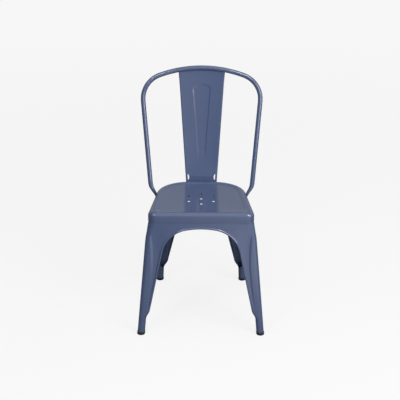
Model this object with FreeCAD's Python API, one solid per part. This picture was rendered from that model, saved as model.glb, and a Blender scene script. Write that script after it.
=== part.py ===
import FreeCAD, Part
import math
import os
from FreeCAD import Vector

# A stacking bistro chair of pressed sheet steel with a bent tube back.
# Millimetres. X runs across the chair, -Y is the front, Z is up, the floor is Z = 0.

# Seat pan
seat_height = 436.0
seat_depth = 335.0
seat_mid_width = 333.5
seat_taper = 0.106
front_corner_radius = 25.0
rear_corner_radius = 117.0
rear_crown_radius = 459.0
rim_height = 34.0
rim_roll = 15.0
dish_depth = 3.0
dish_border = 21.0
dish_slope = 9.0
dish_corner_radius = 18.0
drain_hole = 9.0
drain_circle = 50.0
drain_centre = -30.0
drain_count = 6

# Sheet and tube stock
sheet = 1.2
tube_diameter = 17.0
tube_wall = 1.2

# Legs
foot_diameter = 25.5
collar_height = 18.0
apron_slope = 0.18
apron_straight = 8.0
shoulder_drop = 76.0
front_splay = 58.5
front_side_splay = 34.3
rear_splay = 84.0
rear_side_splay = 32.6
front_leg_corner = 17.0
rear_leg_corner = 24.0
rear_shoulder = 72.0
crown_flat = 4000.0
channel_end = 90.0
tube_end = 56.0
lip_radius = 6.0
lip_turn = 100.0
seam_gap = 0.4

# Arches between the legs
arch_height = 379.0
arch_level = 180.0
front_arch_width = 316.0
front_arch_slope = 0.215
side_arch_front_reach = 152.0
side_arch_rear_reach = 160.0
side_arch_front_slope = 0.254
side_arch_rear_slope = 0.362
rear_arch_width = 212.0
rear_arch_slope = 0.244
arch_crown = 288.0
arch_corner = 100.0
rear_arch_crown = 240.0
rear_arch_corner = 52.0
bead_radius = 3.6
bead_proud = 1.6
apron_steps = 4
channel_steps = 4

# Back hoop
hoop_height = 850.0
hoop_lean = 16.8
hoop_seat_gap = 54.0
hoop_crown = 449.0
hoop_corner = 90.0
hoop_width = 402.0
hoop_width_level = 600.0
hoop_taper = 0.089
hoop_round_end = 440.0
strap_bend_end = 380.0
strap_landing = 355.0
strap_end = 322.0
strap_run = 34.0
strap_dip = 20.0
strap_width = 24.0
strap_thickness = 4.0
strap_sink = 0.3
strap_steps = 5
strap_weld_shares = (0.25, 0.7)

# Back splat
splat_top_width = 170.0
splat_bottom_width = 116.5
splat_bend = 452.0
splat_bend_radius = 45.0
splat_tab_end = 396.0
splat_fold = 7.0
splat_fold_radius = 3.0
splat_notch_bottom = 437.0
splat_notch_top = 461.0
splat_notch_margin = 7.6
splat_notch_width = 4.6
channel_top_width = 69.0
channel_bottom_width = 28.0
channel_top = 784.0
channel_bottom = 520.0
channel_depth = 1.6
channel_wall = 4.0

# Cross brace
brace_level = 383.0
brace_width = 24.0
brace_thickness = 2.5
brace_joggle = 60.0
brace_joggle_slope = 12.0
pad_reach = 0.72
pad_diameter = 22.0
pad_height = 6.0
pad_stem = 6.0
pad_button = 10.0
pad_button_height = 2.5
rivet_shank = 6.0
rivet_head = 11.0
rivet_head_height = 2.0

# Foot caps
cap_diameter = 28.0
cap_height = 11.0
cap_floor = 4.0
cap_round = 2.0
plug_height = 24.0
plug_bore = 12.0

# Welds
weld_spot = 7.0
weld_fillet = 2.5

# Values that follow from the sizes above
rim_level = seat_height - rim_height
tube_radius = tube_diameter / 2
foot_radius = foot_diameter / 2
cap_radius = cap_diameter / 2
lean = math.radians(hoop_lean)
hoop_rise = hoop_height - tube_radius - rim_level


def blend(t):
    """A smooth step from 0 to 1."""
    t = min(max(t, 0.0), 1.0)
    return t * t * (3 - 2 * t)


def flare(drop, splay):
    """Outward run of a leg face at a distance below the seat rim.

    The apron leaves the rim at one slope, which eases over the shoulder into
    the straight leg, so that the foot comes out by the whole splay.
    """
    ease = shoulder_drop - apron_straight
    start = apron_slope * (apron_straight + ease / 2)
    slope = (splay - start) / (ease / 2 + rim_level - shoulder_drop)
    if drop <= apron_straight:
        return apron_slope * drop
    if drop < shoulder_drop:
        run = drop - apron_straight
        return apron_slope * drop - (apron_slope - slope) * run * run / (2 * ease)
    return start + slope * ease / 2 + slope * (drop - shoulder_drop)


# The middle of the whole depth is Y = 0
front_reach = flare(rim_level - cap_round, front_splay) - sheet + cap_radius - foot_radius
hoop_reach = hoop_rise * math.tan(lean) - hoop_seat_gap + tube_radius
foot_reach = flare(rim_level - cap_round, rear_splay) - sheet + cap_radius - foot_radius
rear_reach = max(hoop_reach, foot_reach)
seat_front = (front_reach - seat_depth - rear_reach) / 2
seat_rear = seat_front + seat_depth
seat_middle = seat_front + seat_depth / 2
hoop_base = seat_rear - hoop_seat_gap


class Bow:
    """Half of an outline that is symmetric about u = 0 and open downwards in v.

    A crown arc crosses the axis at v = top, a corner arc follows it, and a
    straight side runs on at half width `half` at v = level, with the given
    change of u for each unit of v. A crown of 0 is a straight line.
    """

    def __init__(self, top, crown, corner, half, level, slope):
        self.top = top
        self.crown = crown
        self.corner = corner
        self.half = half
        self.level = level
        self.slope = slope
        scale = math.hypot(1, slope)
        self.along = (slope / scale, 1 / scale)
        self.out = (1 / scale, -slope / scale)
        start_u = half - corner * self.out[0]
        start_v = level - corner * self.out[1]
        if crown:
            gap_u = start_u
            gap_v = start_v - (top - crown)
            mean = gap_u * self.along[0] + gap_v * self.along[1]
            rest = gap_u * gap_u + gap_v * gap_v - (crown - corner) ** 2
            step = -mean + math.sqrt(mean * mean - rest)
        else:
            step = (top - corner - start_v) / self.along[1]
        self.centre = (start_u + step * self.along[0], start_v + step * self.along[1])
        self.side_joint = (
            self.centre[0] + corner * self.out[0],
            self.centre[1] + corner * self.out[1],
        )
        if crown:
            reach = crown / (crown - corner)
            hub = top - crown
            self.crown_joint = (
                self.centre[0] * reach,
                hub + (self.centre[1] - hub) * reach,
            )
        else:
            self.crown_joint = (self.centre[0], top)

    def grown(self, by):
        """The same outline moved outwards by a distance."""
        crown = self.crown + by if self.crown else 0
        half = self.half + by * math.hypot(1, self.slope)
        return Bow(self.top + by, crown, self.corner + by, half, self.level, self.slope)

    def crown_middle(self):
        """A point of the crown halfway between the axis and its joint."""
        u = self.crown_joint[0] / 2
        return (u, self.height(u))

    def corner_middle(self):
        """The middle point of the corner arc."""
        a = math.atan2(self.crown_joint[1] - self.centre[1], self.crown_joint[0] - self.centre[0])
        b = math.atan2(self.side_joint[1] - self.centre[1], self.side_joint[0] - self.centre[0])
        mid = (a + b) / 2
        return (
            self.centre[0] + self.corner * math.cos(mid),
            self.centre[1] + self.corner * math.sin(mid),
        )

    def side(self, v):
        """Half width of the straight side at v."""
        return self.half + self.slope * (v - self.level)

    def height(self, u):
        """Level of the crown at half width u."""
        if not self.crown:
            return self.top
        return self.top - self.crown + math.sqrt(self.crown ** 2 - u * u)

    def reach(self, v):
        """Half width of the whole outline at v, below the crown joint."""
        if v < self.side_joint[1]:
            return self.side(v)
        if v < self.crown_joint[1]:
            return self.centre[0] + math.sqrt(self.corner ** 2 - (v - self.centre[1]) ** 2)
        hub = self.top - self.crown
        return math.sqrt(self.crown ** 2 - (v - hub) ** 2)

    def surface(self, u):
        """Level of the whole outline at u, inside the side joint."""
        if u < self.crown_joint[0]:
            return self.height(u)
        return self.centre[1] + math.sqrt(self.corner ** 2 - (u - self.centre[0]) ** 2)


def seat_front_bow():
    """Front half of the seat outline; v is measured to the front."""
    return Bow(-seat_front, 0, front_corner_radius, seat_mid_width / 2, -seat_middle, seat_taper)


def seat_rear_bow():
    """Rear half of the seat outline; v is measured to the rear."""
    return Bow(
        seat_rear,
        rear_crown_radius,
        rear_corner_radius,
        seat_mid_width / 2,
        seat_middle,
        -seat_taper,
    )


def leg_bow(rear, z):
    """Outer face of the front or rear legs at height z, as half an outline."""
    drop = max(rim_level - z, 0.0)
    fall = (rim_level - z) / (rim_level - tube_end)
    if rear:
        base = seat_rear_bow().grown(-sheet)
        low = rear_leg_corner + (foot_radius - rear_leg_corner) * min(max(fall, 0), 1)
        corner = base.corner + (low - base.corner) * blend(drop / rear_shoulder)
        bend = 1 / base.crown
        crown = 1 / (bend + (1 / crown_flat - bend) * blend(drop / rear_shoulder))
        splay, side_splay = rear_splay, rear_side_splay
    else:
        base = seat_front_bow().grown(-sheet)
        low = front_leg_corner + (foot_radius - front_leg_corner) * min(max(fall, 0), 1)
        corner = base.corner + (low - base.corner) * blend(drop / shoulder_drop)
        crown = 0
        splay, side_splay = front_splay, front_side_splay
    return Bow(
        base.top + flare(drop, splay),
        crown,
        corner,
        base.half + flare(drop, side_splay),
        base.level,
        base.slope,
    )


def front_arch():
    """Half outline of the opening between the front legs; v is the height."""
    return Bow(
        arch_height, arch_crown, arch_corner, front_arch_width / 2, arch_level, -front_arch_slope
    )


def rear_arch():
    """Half outline of the opening between the rear legs."""
    return Bow(
        arch_height,
        rear_arch_crown,
        rear_arch_corner,
        rear_arch_width / 2,
        arch_level,
        -rear_arch_slope,
    )


def side_arch(rear):
    """Half outline of the side opening, towards the front or the rear leg."""
    reach = side_arch_rear_reach if rear else side_arch_front_reach
    slope = side_arch_rear_slope if rear else side_arch_front_slope
    return Bow(arch_height, arch_crown, arch_corner, reach, arch_level, -slope)


def edge(a, b):
    """A straight edge."""
    return Part.makeLine(a, b)


def arc(a, b, c):
    """An arc through three points."""
    return Part.Arc(a, b, c).toShape()


def half_outline(bow, seam, place):
    """Edges of a bow from its axis to its side at v = seam; place maps (u, v)."""
    start = (0, bow.height(0))
    first = place(*start)
    joint = place(*bow.crown_joint)
    if bow.crown:
        crown = arc(first, place(*bow.crown_middle()), joint)
    else:
        crown = edge(first, joint)
    corner = arc(joint, place(*bow.corner_middle()), place(*bow.side_joint))
    side = edge(place(*bow.side_joint), place(bow.side(seam), seam))
    return [crown, corner, side]


def closed_outline(front, rear, z):
    """The closed wire at height z of a front and a rear half outline."""
    edges = []
    for side in (1, -1):
        edges += half_outline(front, -seat_middle, lambda u, v: Vector(side * u, -v, z))
        edges += half_outline(rear, seat_middle, lambda u, v: Vector(side * u, v, z))
    return Part.Wire(Part.__sortEdges__(edges))


def seat_outline(inset, z):
    """The seat outline at height z, moved inwards by the inset."""
    return closed_outline(seat_front_bow().grown(-inset), seat_rear_bow().grown(-inset), z)


def dish_outline(further, z):
    """The outline of the seat's dish, moved inwards from its upper edge."""
    inset = dish_border + further
    front = seat_front_bow().grown(-inset)
    front = Bow(front.top, 0, dish_corner_radius, front.half, front.level, front.slope)
    return closed_outline(front, seat_rear_bow().grown(-inset), z)


def lofted(wires, ruled=False):
    """A solid through closed wires."""
    return Part.makeLoft(wires, True, ruled)


def prism(wire, run):
    """A solid from a flat closed wire and a straight run."""
    return Part.Face(wire).extrude(run)


def rolled_block(inset, low, high, roll):
    """The block inside the seat outline with its upper edge rounded."""
    block = prism(seat_outline(inset, low), Vector(0, 0, high - low))
    top_edges = [e for e in block.Edges if min(v.Z for v in e.Vertexes) > high - 0.01]
    return block.makeFillet(roll, top_edges)


def make_seat_pan():
    """A pressed pan: rolled rim, shallow dish and seven drain holes."""
    outer = rolled_block(0, rim_level, seat_height, rim_roll)
    inner = rolled_block(sheet, rim_level, seat_height - sheet, rim_roll - sheet)
    floor = seat_height - dish_depth
    dish = lofted([dish_outline(0, seat_height), dish_outline(dish_slope, floor)], True)
    under = dish.copy()
    under.translate(Vector(0, 0, -sheet))
    pan = outer.cut(dish).cut(inner.cut(under))
    for index in range(drain_count + 1):
        reach = drain_circle if index else 0
        turn = math.radians(90 + 360 * index / drain_count)
        spot = Vector(
            reach * math.cos(turn),
            drain_centre + reach * math.sin(turn),
            floor - 2 * sheet,
        )
        pan = pan.cut(Part.makeCylinder(drain_hole / 2, 4 * sheet, spot))
    return pan


def section(rear, side, z):
    """Closed wire of one leg's sheet at height z, from seam to seam."""
    facing = 1 if rear else -1
    outer = leg_bow(rear, z)
    inner = outer.grown(-sheet)
    seam = facing * seat_middle

    def place(u, v):
        return Vector(side * u, facing * v, z)

    edges = half_outline(outer, seam, place)
    edges += half_outline(inner, seam, place)
    edges.append(edge(place(0, outer.height(0)), place(0, inner.height(0))))
    edges.append(edge(place(outer.side(seam), seam), place(inner.side(seam), seam)))
    return Part.Wire(Part.__sortEdges__(edges))


def leg_levels():
    """Heights of the sections between the seat rim and the end of the channel."""
    drops = [0, apron_straight, 0.35 * shoulder_drop, 0.65 * shoulder_drop, shoulder_drop]
    levels = [rim_level - d for d in drops]
    low = levels[-1]
    for i in range(1, apron_steps + 1):
        levels.append(low + (channel_end - low) * i / apron_steps)
    return levels


def skin(rear, side):
    """The leg's sheet from the rim down to the end of the channel, unpierced."""
    return lofted([section(rear, side, z) for z in leg_levels()])


def collar(rear, side):
    """The upright edge of the leg's sheet that stands inside the seat rim."""
    return prism(section(rear, side, rim_level), Vector(0, 0, collar_height))


def arch_prism(first, second, place, run):
    """The solid that cuts an arch, from two half outlines and a run."""
    low = tube_end
    edges = half_outline(first, low, lambda u, v: place(u, v))
    edges += half_outline(second, low, lambda u, v: place(-u, v))
    edges.append(edge(place(first.side(low), low), place(-second.side(low), low)))
    return prism(Part.Wire(Part.__sortEdges__(edges)), run)


def half_path(bow, low):
    """Points along a bow, from its axis down its side to v = low."""
    points = []
    for i in range(4):
        u = bow.crown_joint[0] * i / 4
        points.append((u, bow.height(u)))
    a = math.atan2(bow.crown_joint[1] - bow.centre[1], bow.crown_joint[0] - bow.centre[0])
    b = math.atan2(bow.side_joint[1] - bow.centre[1], bow.side_joint[0] - bow.centre[0])
    for i in range(6):
        t = a + (b - a) * i / 5
        u = bow.centre[0] + bow.corner * math.cos(t)
        points.append((u, bow.centre[1] + bow.corner * math.sin(t)))
    top = bow.side_joint[1]
    for i in range(1, 5):
        v = top + (low - top) * i / 4
        points.append((bow.side(v), v))
    return points


def bead(points, tangent):
    """A round bead through the given points, square to the seam where it starts."""
    curve = Part.BSplineCurve()
    last = points[-1] - points[-2]
    last.normalize()
    curve.interpolate(Points=points, InitialTangent=tangent, FinalTangent=last)
    path = Part.Wire([curve.toShape()])
    ring = Part.Wire([Part.makeCircle(bead_radius, points[0], tangent)])
    return path.makePipeShell([ring], True, False)


def front_bead(rear, side):
    """The rolled edge along the front or rear arch of one leg."""
    facing = 1 if rear else -1
    bow = rear_arch() if rear else front_arch()
    points = []
    for u, v in half_path(bow.grown(bead_radius), channel_end):
        level = leg_bow(rear, v).grown(bead_proud - bead_radius).surface(u)
        points.append(Vector(side * u, facing * level, v))
    return bead(points, Vector(side, 0, 0))


def side_bead(rear, side):
    """The rolled edge along the side arch of one leg."""
    facing = 1 if rear else -1
    points = []
    for u, v in half_path(side_arch(rear).grown(bead_radius), channel_end):
        y = seat_middle + facing * u
        level = leg_bow(rear, v).grown(bead_proud - bead_radius).reach(facing * y)
        points.append(Vector(side * level, y, v))
    return bead(points, Vector(0, facing, 0))


def channel_section(rear, side, z):
    """Closed wire of the lower leg at height z.

    The sheet runs round the corner arc, along a flat either side of it, and
    turns inwards in a lip at each end. Going down, the flats shrink and the
    lips swing round until they meet in the seam of a rolled tube.
    """
    facing = 1 if rear else -1
    shut = blend((channel_end - z) / (channel_end - tube_end))
    bow = leg_bow(rear, z)
    hub = bow.centre
    joint = bow.crown_joint
    up = ((joint[0] - hub[0]) / bow.corner, (joint[1] - hub[1]) / bow.corner)
    up_angle = math.atan2(up[1], up[0])
    out_angle = math.atan2(bow.out[1], bow.out[0])
    lip = lip_radius + (foot_radius - lip_radius) * shut
    closed_turn = math.pi - (up_angle - out_angle) / 2 - seam_gap / (2 * foot_radius)
    turn = math.radians(lip_turn) * (1 - shut) + closed_turn * shut
    end_bow = leg_bow(rear, channel_end)
    arch_edge = (rear_arch() if rear else front_arch()).side(channel_end)
    side_edge = facing * seat_middle + side_arch(rear).side(channel_end)
    wing_flat = (end_bow.centre[0] - lip_radius - arch_edge) * (1 - shut) + seam_gap * shut
    side_flat = (end_bow.centre[1] - lip_radius - side_edge) * (1 - shut) + seam_gap * shut
    wing_hub = (
        hub[0] + (bow.corner - lip) * up[0] - wing_flat * up[1],
        hub[1] + (bow.corner - lip) * up[1] + wing_flat * up[0],
    )
    side_hub = (
        hub[0] + (bow.corner - lip) * bow.out[0] - side_flat * bow.along[0],
        hub[1] + (bow.corner - lip) * bow.out[1] - side_flat * bow.along[1],
    )

    def at(centre, radius, angle):
        u = centre[0] + radius * math.cos(angle)
        v = centre[1] + radius * math.sin(angle)
        return Vector(side * u, facing * v, z)

    def face(inset):
        """The edges of one face of the sheet, and its two end points."""
        small = lip - inset
        large = bow.corner - inset
        wing_end = at(wing_hub, small, up_angle + turn)
        wing_mid = at(wing_hub, small, up_angle + turn / 2)
        wing_start = at(wing_hub, small, up_angle)
        corner_up = at(hub, large, up_angle)
        corner_mid = at(hub, large, (up_angle + out_angle) / 2)
        corner_out = at(hub, large, out_angle)
        side_start = at(side_hub, small, out_angle)
        side_mid = at(side_hub, small, out_angle - turn / 2)
        side_end = at(side_hub, small, out_angle - turn)
        edges = [
            arc(wing_end, wing_mid, wing_start),
            edge(wing_start, corner_up),
            arc(corner_up, corner_mid, corner_out),
            edge(corner_out, side_start),
            arc(side_start, side_mid, side_end),
        ]
        return edges, wing_end, side_end

    outer, outer_wing, outer_side = face(0)
    inner, inner_wing, inner_side = face(sheet)
    ends = [edge(outer_wing, inner_wing), edge(outer_side, inner_side)]
    return Part.Wire(Part.__sortEdges__(outer + inner + ends))


def lower_leg(rear, side):
    """The foot of a leg: the channel closing into a rolled tube."""
    closing = []
    for i in range(channel_steps + 1):
        z = channel_end + (tube_end - channel_end) * i / channel_steps
        closing.append(channel_section(rear, side, z))
    tube = [closing[-1], channel_section(rear, side, cap_floor)]
    return lofted(closing).fuse(lofted(tube, True))


def make_leg(rear, side):
    """One pressed leg with its halves of the aprons on both sides of it."""
    facing = 1 if rear else -1
    reach = seat_depth + seat_mid_width
    cross = (rear_arch() if rear else front_arch()).grown(bead_radius)
    back = side_arch(True).grown(bead_radius)
    fore = side_arch(False).grown(bead_radius)
    upper = skin(rear, side)
    upper = upper.cut(
        arch_prism(
            cross,
            cross,
            lambda u, v: Vector(u, seat_middle, v),
            Vector(0, facing * reach, 0),
        )
    )
    upper = upper.cut(
        arch_prism(
            back,
            fore,
            lambda u, v: Vector(0, seat_middle + u, v),
            Vector(side * reach, 0, 0),
        )
    )
    pieces = [collar(rear, side), front_bead(rear, side), side_bead(rear, side), lower_leg(rear, side)]
    return upper.multiFuse(pieces)


def mirrored(shape):
    """The same piece on the other side of the chair."""
    return shape.mirror(Vector(0, 0, 0), Vector(1, 0, 0))


def foot_ring(rear, side, radius, z):
    """A level circle round the axis of a foot at height z."""
    facing = 1 if rear else -1
    u, v = leg_bow(rear, z).centre
    return Part.Wire([Part.makeCircle(radius, Vector(side * u, facing * v, z))])


def foot_rod(rear, side, radius, low, high):
    """A round solid that follows the axis of a foot between two heights."""
    return lofted([foot_ring(rear, side, radius, low), foot_ring(rear, side, radius, high)], True)


def make_foot_cap(rear, side):
    """A rubber cap that grips the tube of a foot outside and in."""
    sole = foot_ring(rear, side, cap_radius - cap_round, 0)
    shoulder = foot_ring(rear, side, cap_radius, cap_round)
    rim = foot_ring(rear, side, cap_radius, cap_height)
    cap = lofted([sole, shoulder], True).fuse(lofted([shoulder, rim], True))
    cap = cap.cut(foot_rod(rear, side, foot_radius, cap_floor, cap_height))
    plug = foot_rod(rear, side, foot_radius - sheet, cap_floor, plug_height)
    plug = plug.cut(foot_rod(rear, side, plug_bore / 2, cap_floor, plug_height))
    return cap.fuse(plug)


def hoop_bow():
    """Half of the hoop's centre line; v runs up the leaning plane from the rim."""
    scale = math.cos(lean)
    return Bow(
        hoop_rise / scale,
        hoop_crown,
        hoop_corner,
        hoop_width / 2,
        (hoop_width_level - rim_level) / scale,
        hoop_taper,
    )


def on_hoop(u, v):
    """A point of the hoop's leaning plane."""
    return Vector(u, hoop_base + v * math.sin(lean), rim_level + v * math.cos(lean))


def hoop_path():
    """The hoop's centre line between the two ends of its round tube."""
    bow = hoop_bow()
    end = (hoop_round_end - rim_level) / math.cos(lean)
    edges = half_outline(bow, end, on_hoop)
    edges += half_outline(bow, end, lambda u, v: on_hoop(-u, v))
    return Part.Wire(Part.__sortEdges__(edges))


def hoop_rod(radius):
    """A round solid along the hoop's centre line."""
    path = hoop_path()
    start = path.OrderedVertexes[0].Point
    run = path.OrderedVertexes[1].Point - start
    ring = Part.Wire([Part.makeCircle(radius, start, run)])
    return path.makePipeShell([ring], True, False)


def flat_ring(centre, across, through, width, thickness):
    """A closed ring: round where width equals thickness, else a flattened tube."""
    share = math.sqrt(0.5)
    flat = (width - thickness) / 2 + thickness / 2 * share
    rise = thickness / 2 * share

    def at(a, b):
        return centre + across * a + through * b

    edges = [
        arc(at(-flat, rise), at(0, thickness / 2), at(flat, rise)),
        arc(at(flat, rise), at(width / 2, 0), at(flat, -rise)),
        arc(at(flat, -rise), at(0, -thickness / 2), at(-flat, -rise)),
        arc(at(-flat, -rise), at(-width / 2, 0), at(-flat, rise)),
    ]
    return Part.Wire(edges)


def strap_point(z):
    """Centre and outward direction of a hoop end at height z, below its round tube.

    The end bends inwards first, then drops onto the side of the rear leg and
    follows it, running back a little as the leg does.
    """
    fall = (hoop_round_end - z) / (hoop_round_end - strap_end)
    v = (hoop_round_end - rim_level) / math.cos(lean)
    start = on_hoop(hoop_bow().side(v), v)
    y = start.y - strap_dip * fall + strap_run * fall * fall
    bow = leg_bow(True, min(z, strap_landing))
    out = Vector(bow.out[0], bow.out[1], 0)
    x = bow.side(y) + (strap_thickness / 2 - strap_sink) * math.hypot(1, bow.slope)
    share = blend((hoop_round_end - z) / (hoop_round_end - strap_bend_end))
    return Vector(start.x + (x - start.x) * share, y, z), out


def hoop_end():
    """The right end of the hoop: the tube flattens and lies on the rear leg."""
    bow = hoop_bow()
    v = (hoop_round_end - rim_level) / math.cos(lean)
    start = on_hoop(bow.side(v), v)
    down = on_hoop(bow.side(v - 1), v - 1) - start
    down.normalize()
    through = Vector(1, 0, 0) - down * down.x
    through.normalize()
    rings = [flat_ring(start, through.cross(down), through, tube_diameter, tube_diameter)]
    for i in range(1, strap_steps + 1):
        t = i / strap_steps
        centre, out = strap_point(hoop_round_end + (strap_bend_end - hoop_round_end) * t)
        facing = through * (1 - t) + out * t
        facing.z = 0
        facing.normalize()
        width = tube_diameter + (strap_width - tube_diameter) * t
        thickness = tube_diameter + (strap_thickness - tube_diameter) * t
        rings.append(flat_ring(centre, facing.cross(Vector(0, 0, -1)), facing, width, thickness))
    for z in (strap_landing, (strap_landing + strap_end) / 2, strap_end):
        centre, out = strap_point(z)
        rings.append(flat_ring(centre, out.cross(Vector(0, 0, -1)), out, strap_width, strap_thickness))
    return lofted(rings)


def strap_spots():
    """Places of the two welds that hold one flattened end, with their direction."""
    spots = []
    for share in strap_weld_shares:
        z = strap_landing + (strap_end - strap_landing) * share
        spots.append(strap_point(z))
    return spots


def make_hoop(legs):
    """The bent tube of the back with its two flattened ends, and their welds."""
    end = hoop_end().cut(legs["leg_rear_right"])
    plugs = []
    for centre, out in strap_spots():
        rod = Part.makeCylinder(weld_spot / 2, 2 * strap_thickness, centre - out * strap_thickness, out)
        plugs.append(end.common(rod))
        end = end.cut(rod)
    tube = hoop_rod(tube_radius).cut(hoop_rod(tube_radius - tube_wall))
    hoop = tube.multiFuse([end, mirrored(end)])
    right = Part.makeCompound(plugs)
    return hoop, right, mirrored(right)


def splat_frame():
    """Origin, upward direction and front direction of the splat's plane."""
    low = Vector(0, seat_rear + sheet / 2, splat_bend)
    top = on_hoop(0, hoop_rise / math.cos(lean))
    up = top - low
    length = up.Length
    up.normalize()
    front = up.cross(Vector(1, 0, 0)) * -1
    return low, up, front, length


def on_splat(x, s, n):
    """A point given across the splat, up its slope and towards the front."""
    low, up, front = splat_frame()[:3]
    return low + Vector(x, 0, 0) + up * s + front * n


def splat_arc():
    """Centre and angle of the bend between the splat's upright tab and its panel."""
    low, up = splat_frame()[:2]
    angle = math.atan2(up.y, up.z)
    reach = splat_bend_radius * math.tan(angle / 2)
    return low + Vector(0, splat_bend_radius, -reach), angle


def splat_line(n):
    """Points of the splat's side view, n in front of its mid sheet, from tab to top.

    They are the tab's end, the start, middle and end of the bend, and the
    panel's top end.
    """
    low, up, front, length = splat_frame()
    centre, angle = splat_arc()
    points = [Vector(0, low.y - n, splat_tab_end)]
    for turn in (0, angle / 2, angle):
        way = Vector(0, -math.cos(turn), math.sin(turn))
        points.append(centre + way * (splat_bend_radius + n))
    points.append(low + up * length + front * n)
    return points


def splat_level(point):
    """How far a point lies in front of the splat's mid sheet."""
    low, up, front, length = splat_frame()
    centre, angle = splat_arc()
    arm = point - centre
    turn = math.atan2(arm.z, -arm.y)
    if turn < 0:
        return low.y - point.y
    if turn > angle:
        return (point - low).dot(front)
    return math.hypot(arm.y, arm.z) - splat_bend_radius


def splat_side_view(inset):
    """The splat's side view between its face and its folded edges, as a long block."""
    face = splat_line(sheet / 2 - inset)
    back = splat_line(sheet / 2 - splat_fold)
    edges = [edge(face[-1], back[-1]), edge(back[0], face[0])]
    for line in (face, back):
        edges.append(edge(line[0], line[1]))
        edges.append(arc(*line[1:4]))
        edges.append(edge(line[3], line[4]))
    across = Vector(splat_top_width, 0, 0)
    block = prism(Part.Wire(Part.__sortEdges__(edges)), across * 2)
    block.translate(across * -1)
    return block


def splat_half(z):
    """Half width of the splat at height z."""
    taper = (splat_top_width - splat_bottom_width) / 2 / (hoop_height - splat_bend)
    return splat_bottom_width / 2 + taper * (z - splat_bend)


def splat_front_view(inset):
    """The splat's tapered front view, as a block that runs back from the seat."""
    points = []
    for side, z in (
        (-1, splat_tab_end - splat_fold),
        (1, splat_tab_end - splat_fold),
        (1, hoop_height + splat_fold),
        (-1, hoop_height + splat_fold),
    ):
        points.append(Vector(side * (splat_half(z) - inset), seat_middle, z))
    return prism(Part.makePolygon(points + [points[0]]), Vector(0, 2 * seat_depth, 0))


def splat_block(inset, roll):
    """A tapered block behind the splat's face with its two long edges rounded."""
    block = splat_side_view(inset).common(splat_front_view(inset))
    long_edges = []
    for side in block.Edges:
        ends = [v.Point for v in side.Vertexes]
        on_face = all(abs(splat_level(p) - sheet / 2 + inset) < 0.001 for p in ends)
        if on_face and ends[0].x * ends[1].x > 0:
            long_edges.append(side)
    return block.makeFillet(roll, long_edges)


def channel_outline(margin, n):
    """Closed wire of the pressed panel on the splat, grown by a margin."""
    up = splat_frame()[1]
    top = (channel_top - splat_bend) / up.z + margin
    bottom = (channel_bottom - splat_bend) / up.z - margin
    wide = channel_top_width / 2 + margin
    narrow = channel_bottom_width / 2 + margin
    crown = wide / 3
    edges = [
        edge(on_splat(-narrow, bottom, n), on_splat(-wide, top - crown, n)),
        arc(on_splat(-wide, top - crown, n), on_splat(0, top, n), on_splat(wide, top - crown, n)),
        edge(on_splat(wide, top - crown, n), on_splat(narrow, bottom, n)),
        edge(on_splat(narrow, bottom, n), on_splat(-narrow, bottom, n)),
    ]
    return Part.Wire(edges)


def splat_notch(side):
    """The slit beside a folded edge at the foot, which lets the sheet bend there."""
    middle = (splat_notch_bottom + splat_notch_top) / 2
    points = []
    for z, width in (
        (splat_notch_bottom, 0),
        (middle, splat_notch_width),
        (splat_notch_top, 0),
    ):
        x = splat_half(z) - splat_notch_margin - width
        points.append(Vector(side * x, seat_middle, z))
    wire = Part.Wire([arc(*points), edge(points[2], points[0])])
    return prism(wire, Vector(0, 2 * seat_depth, 0))


def above_hoop():
    """The space above the hoop's centre line, where no splat is."""
    bow = hoop_bow()
    reach = bow.crown_joint[0]
    high = bow.top + tube_diameter
    crown = [on_hoop(u, bow.surface(abs(u))) for u in (-reach, 0, reach)]
    edges = [
        arc(*crown),
        edge(crown[2], on_hoop(reach, high)),
        edge(on_hoop(reach, high), on_hoop(-reach, high)),
        edge(on_hoop(-reach, high), crown[0]),
    ]
    space = prism(Part.Wire(edges), Vector(0, 4 * splat_fold, 0))
    space.translate(Vector(0, -2 * splat_fold, 0))
    return space


def make_splat():
    """The sheet splat with its folded edges, pressed panel and foot tab, and its welds."""
    front = splat_frame()[2]
    outer = splat_block(0, splat_fold_radius)
    panel = outer.cut(splat_block(sheet, splat_fold_radius - sheet))
    floor = sheet / 2 - channel_depth
    recess = lofted([channel_outline(0, sheet / 2), channel_outline(-channel_wall, floor)], True)
    boss = recess.copy()
    boss.translate(front * -sheet)
    panel = panel.fuse(boss).cut(recess)
    splat = panel.cut(above_hoop()).cut(hoop_rod(tube_radius))
    for side in (1, -1):
        splat = splat.cut(splat_notch(side))
    bow = seat_rear_bow()
    plugs = []
    for x in (-splat_bottom_width / 3, 0, splat_bottom_width / 3):
        start = bow.height(abs(x)) - sheet / 2
        run = seat_rear + sheet - start
        level = (rim_level + seat_height - rim_roll) / 2
        rod = Part.makeCylinder(weld_spot / 2, run, Vector(x, start, level), Vector(0, 1, 0))
        plugs.append(rod)
        splat = splat.cut(rod)
    return splat, plugs


def make_splat_weld(splat):
    """The weld along the rear of the joint between splat and hoop."""
    bow = hoop_bow()
    reach = splat_top_width / 2 - splat_fold_radius - weld_fillet
    points = []
    for u in (-reach, 0, reach):
        points.append(on_hoop(u, bow.height(abs(u))))
    path = Part.Wire([arc(*points)])
    path.translate(Vector(0, sheet, -tube_radius))
    start = path.OrderedVertexes[0].Point
    run = points[1] - points[0]
    ring = Part.Wire([Part.makeCircle(weld_fillet, start, run)])
    rod = path.makePipeShell([ring], True, False)
    return rod.cut(hoop_rod(tube_radius)).cut(splat)


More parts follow.
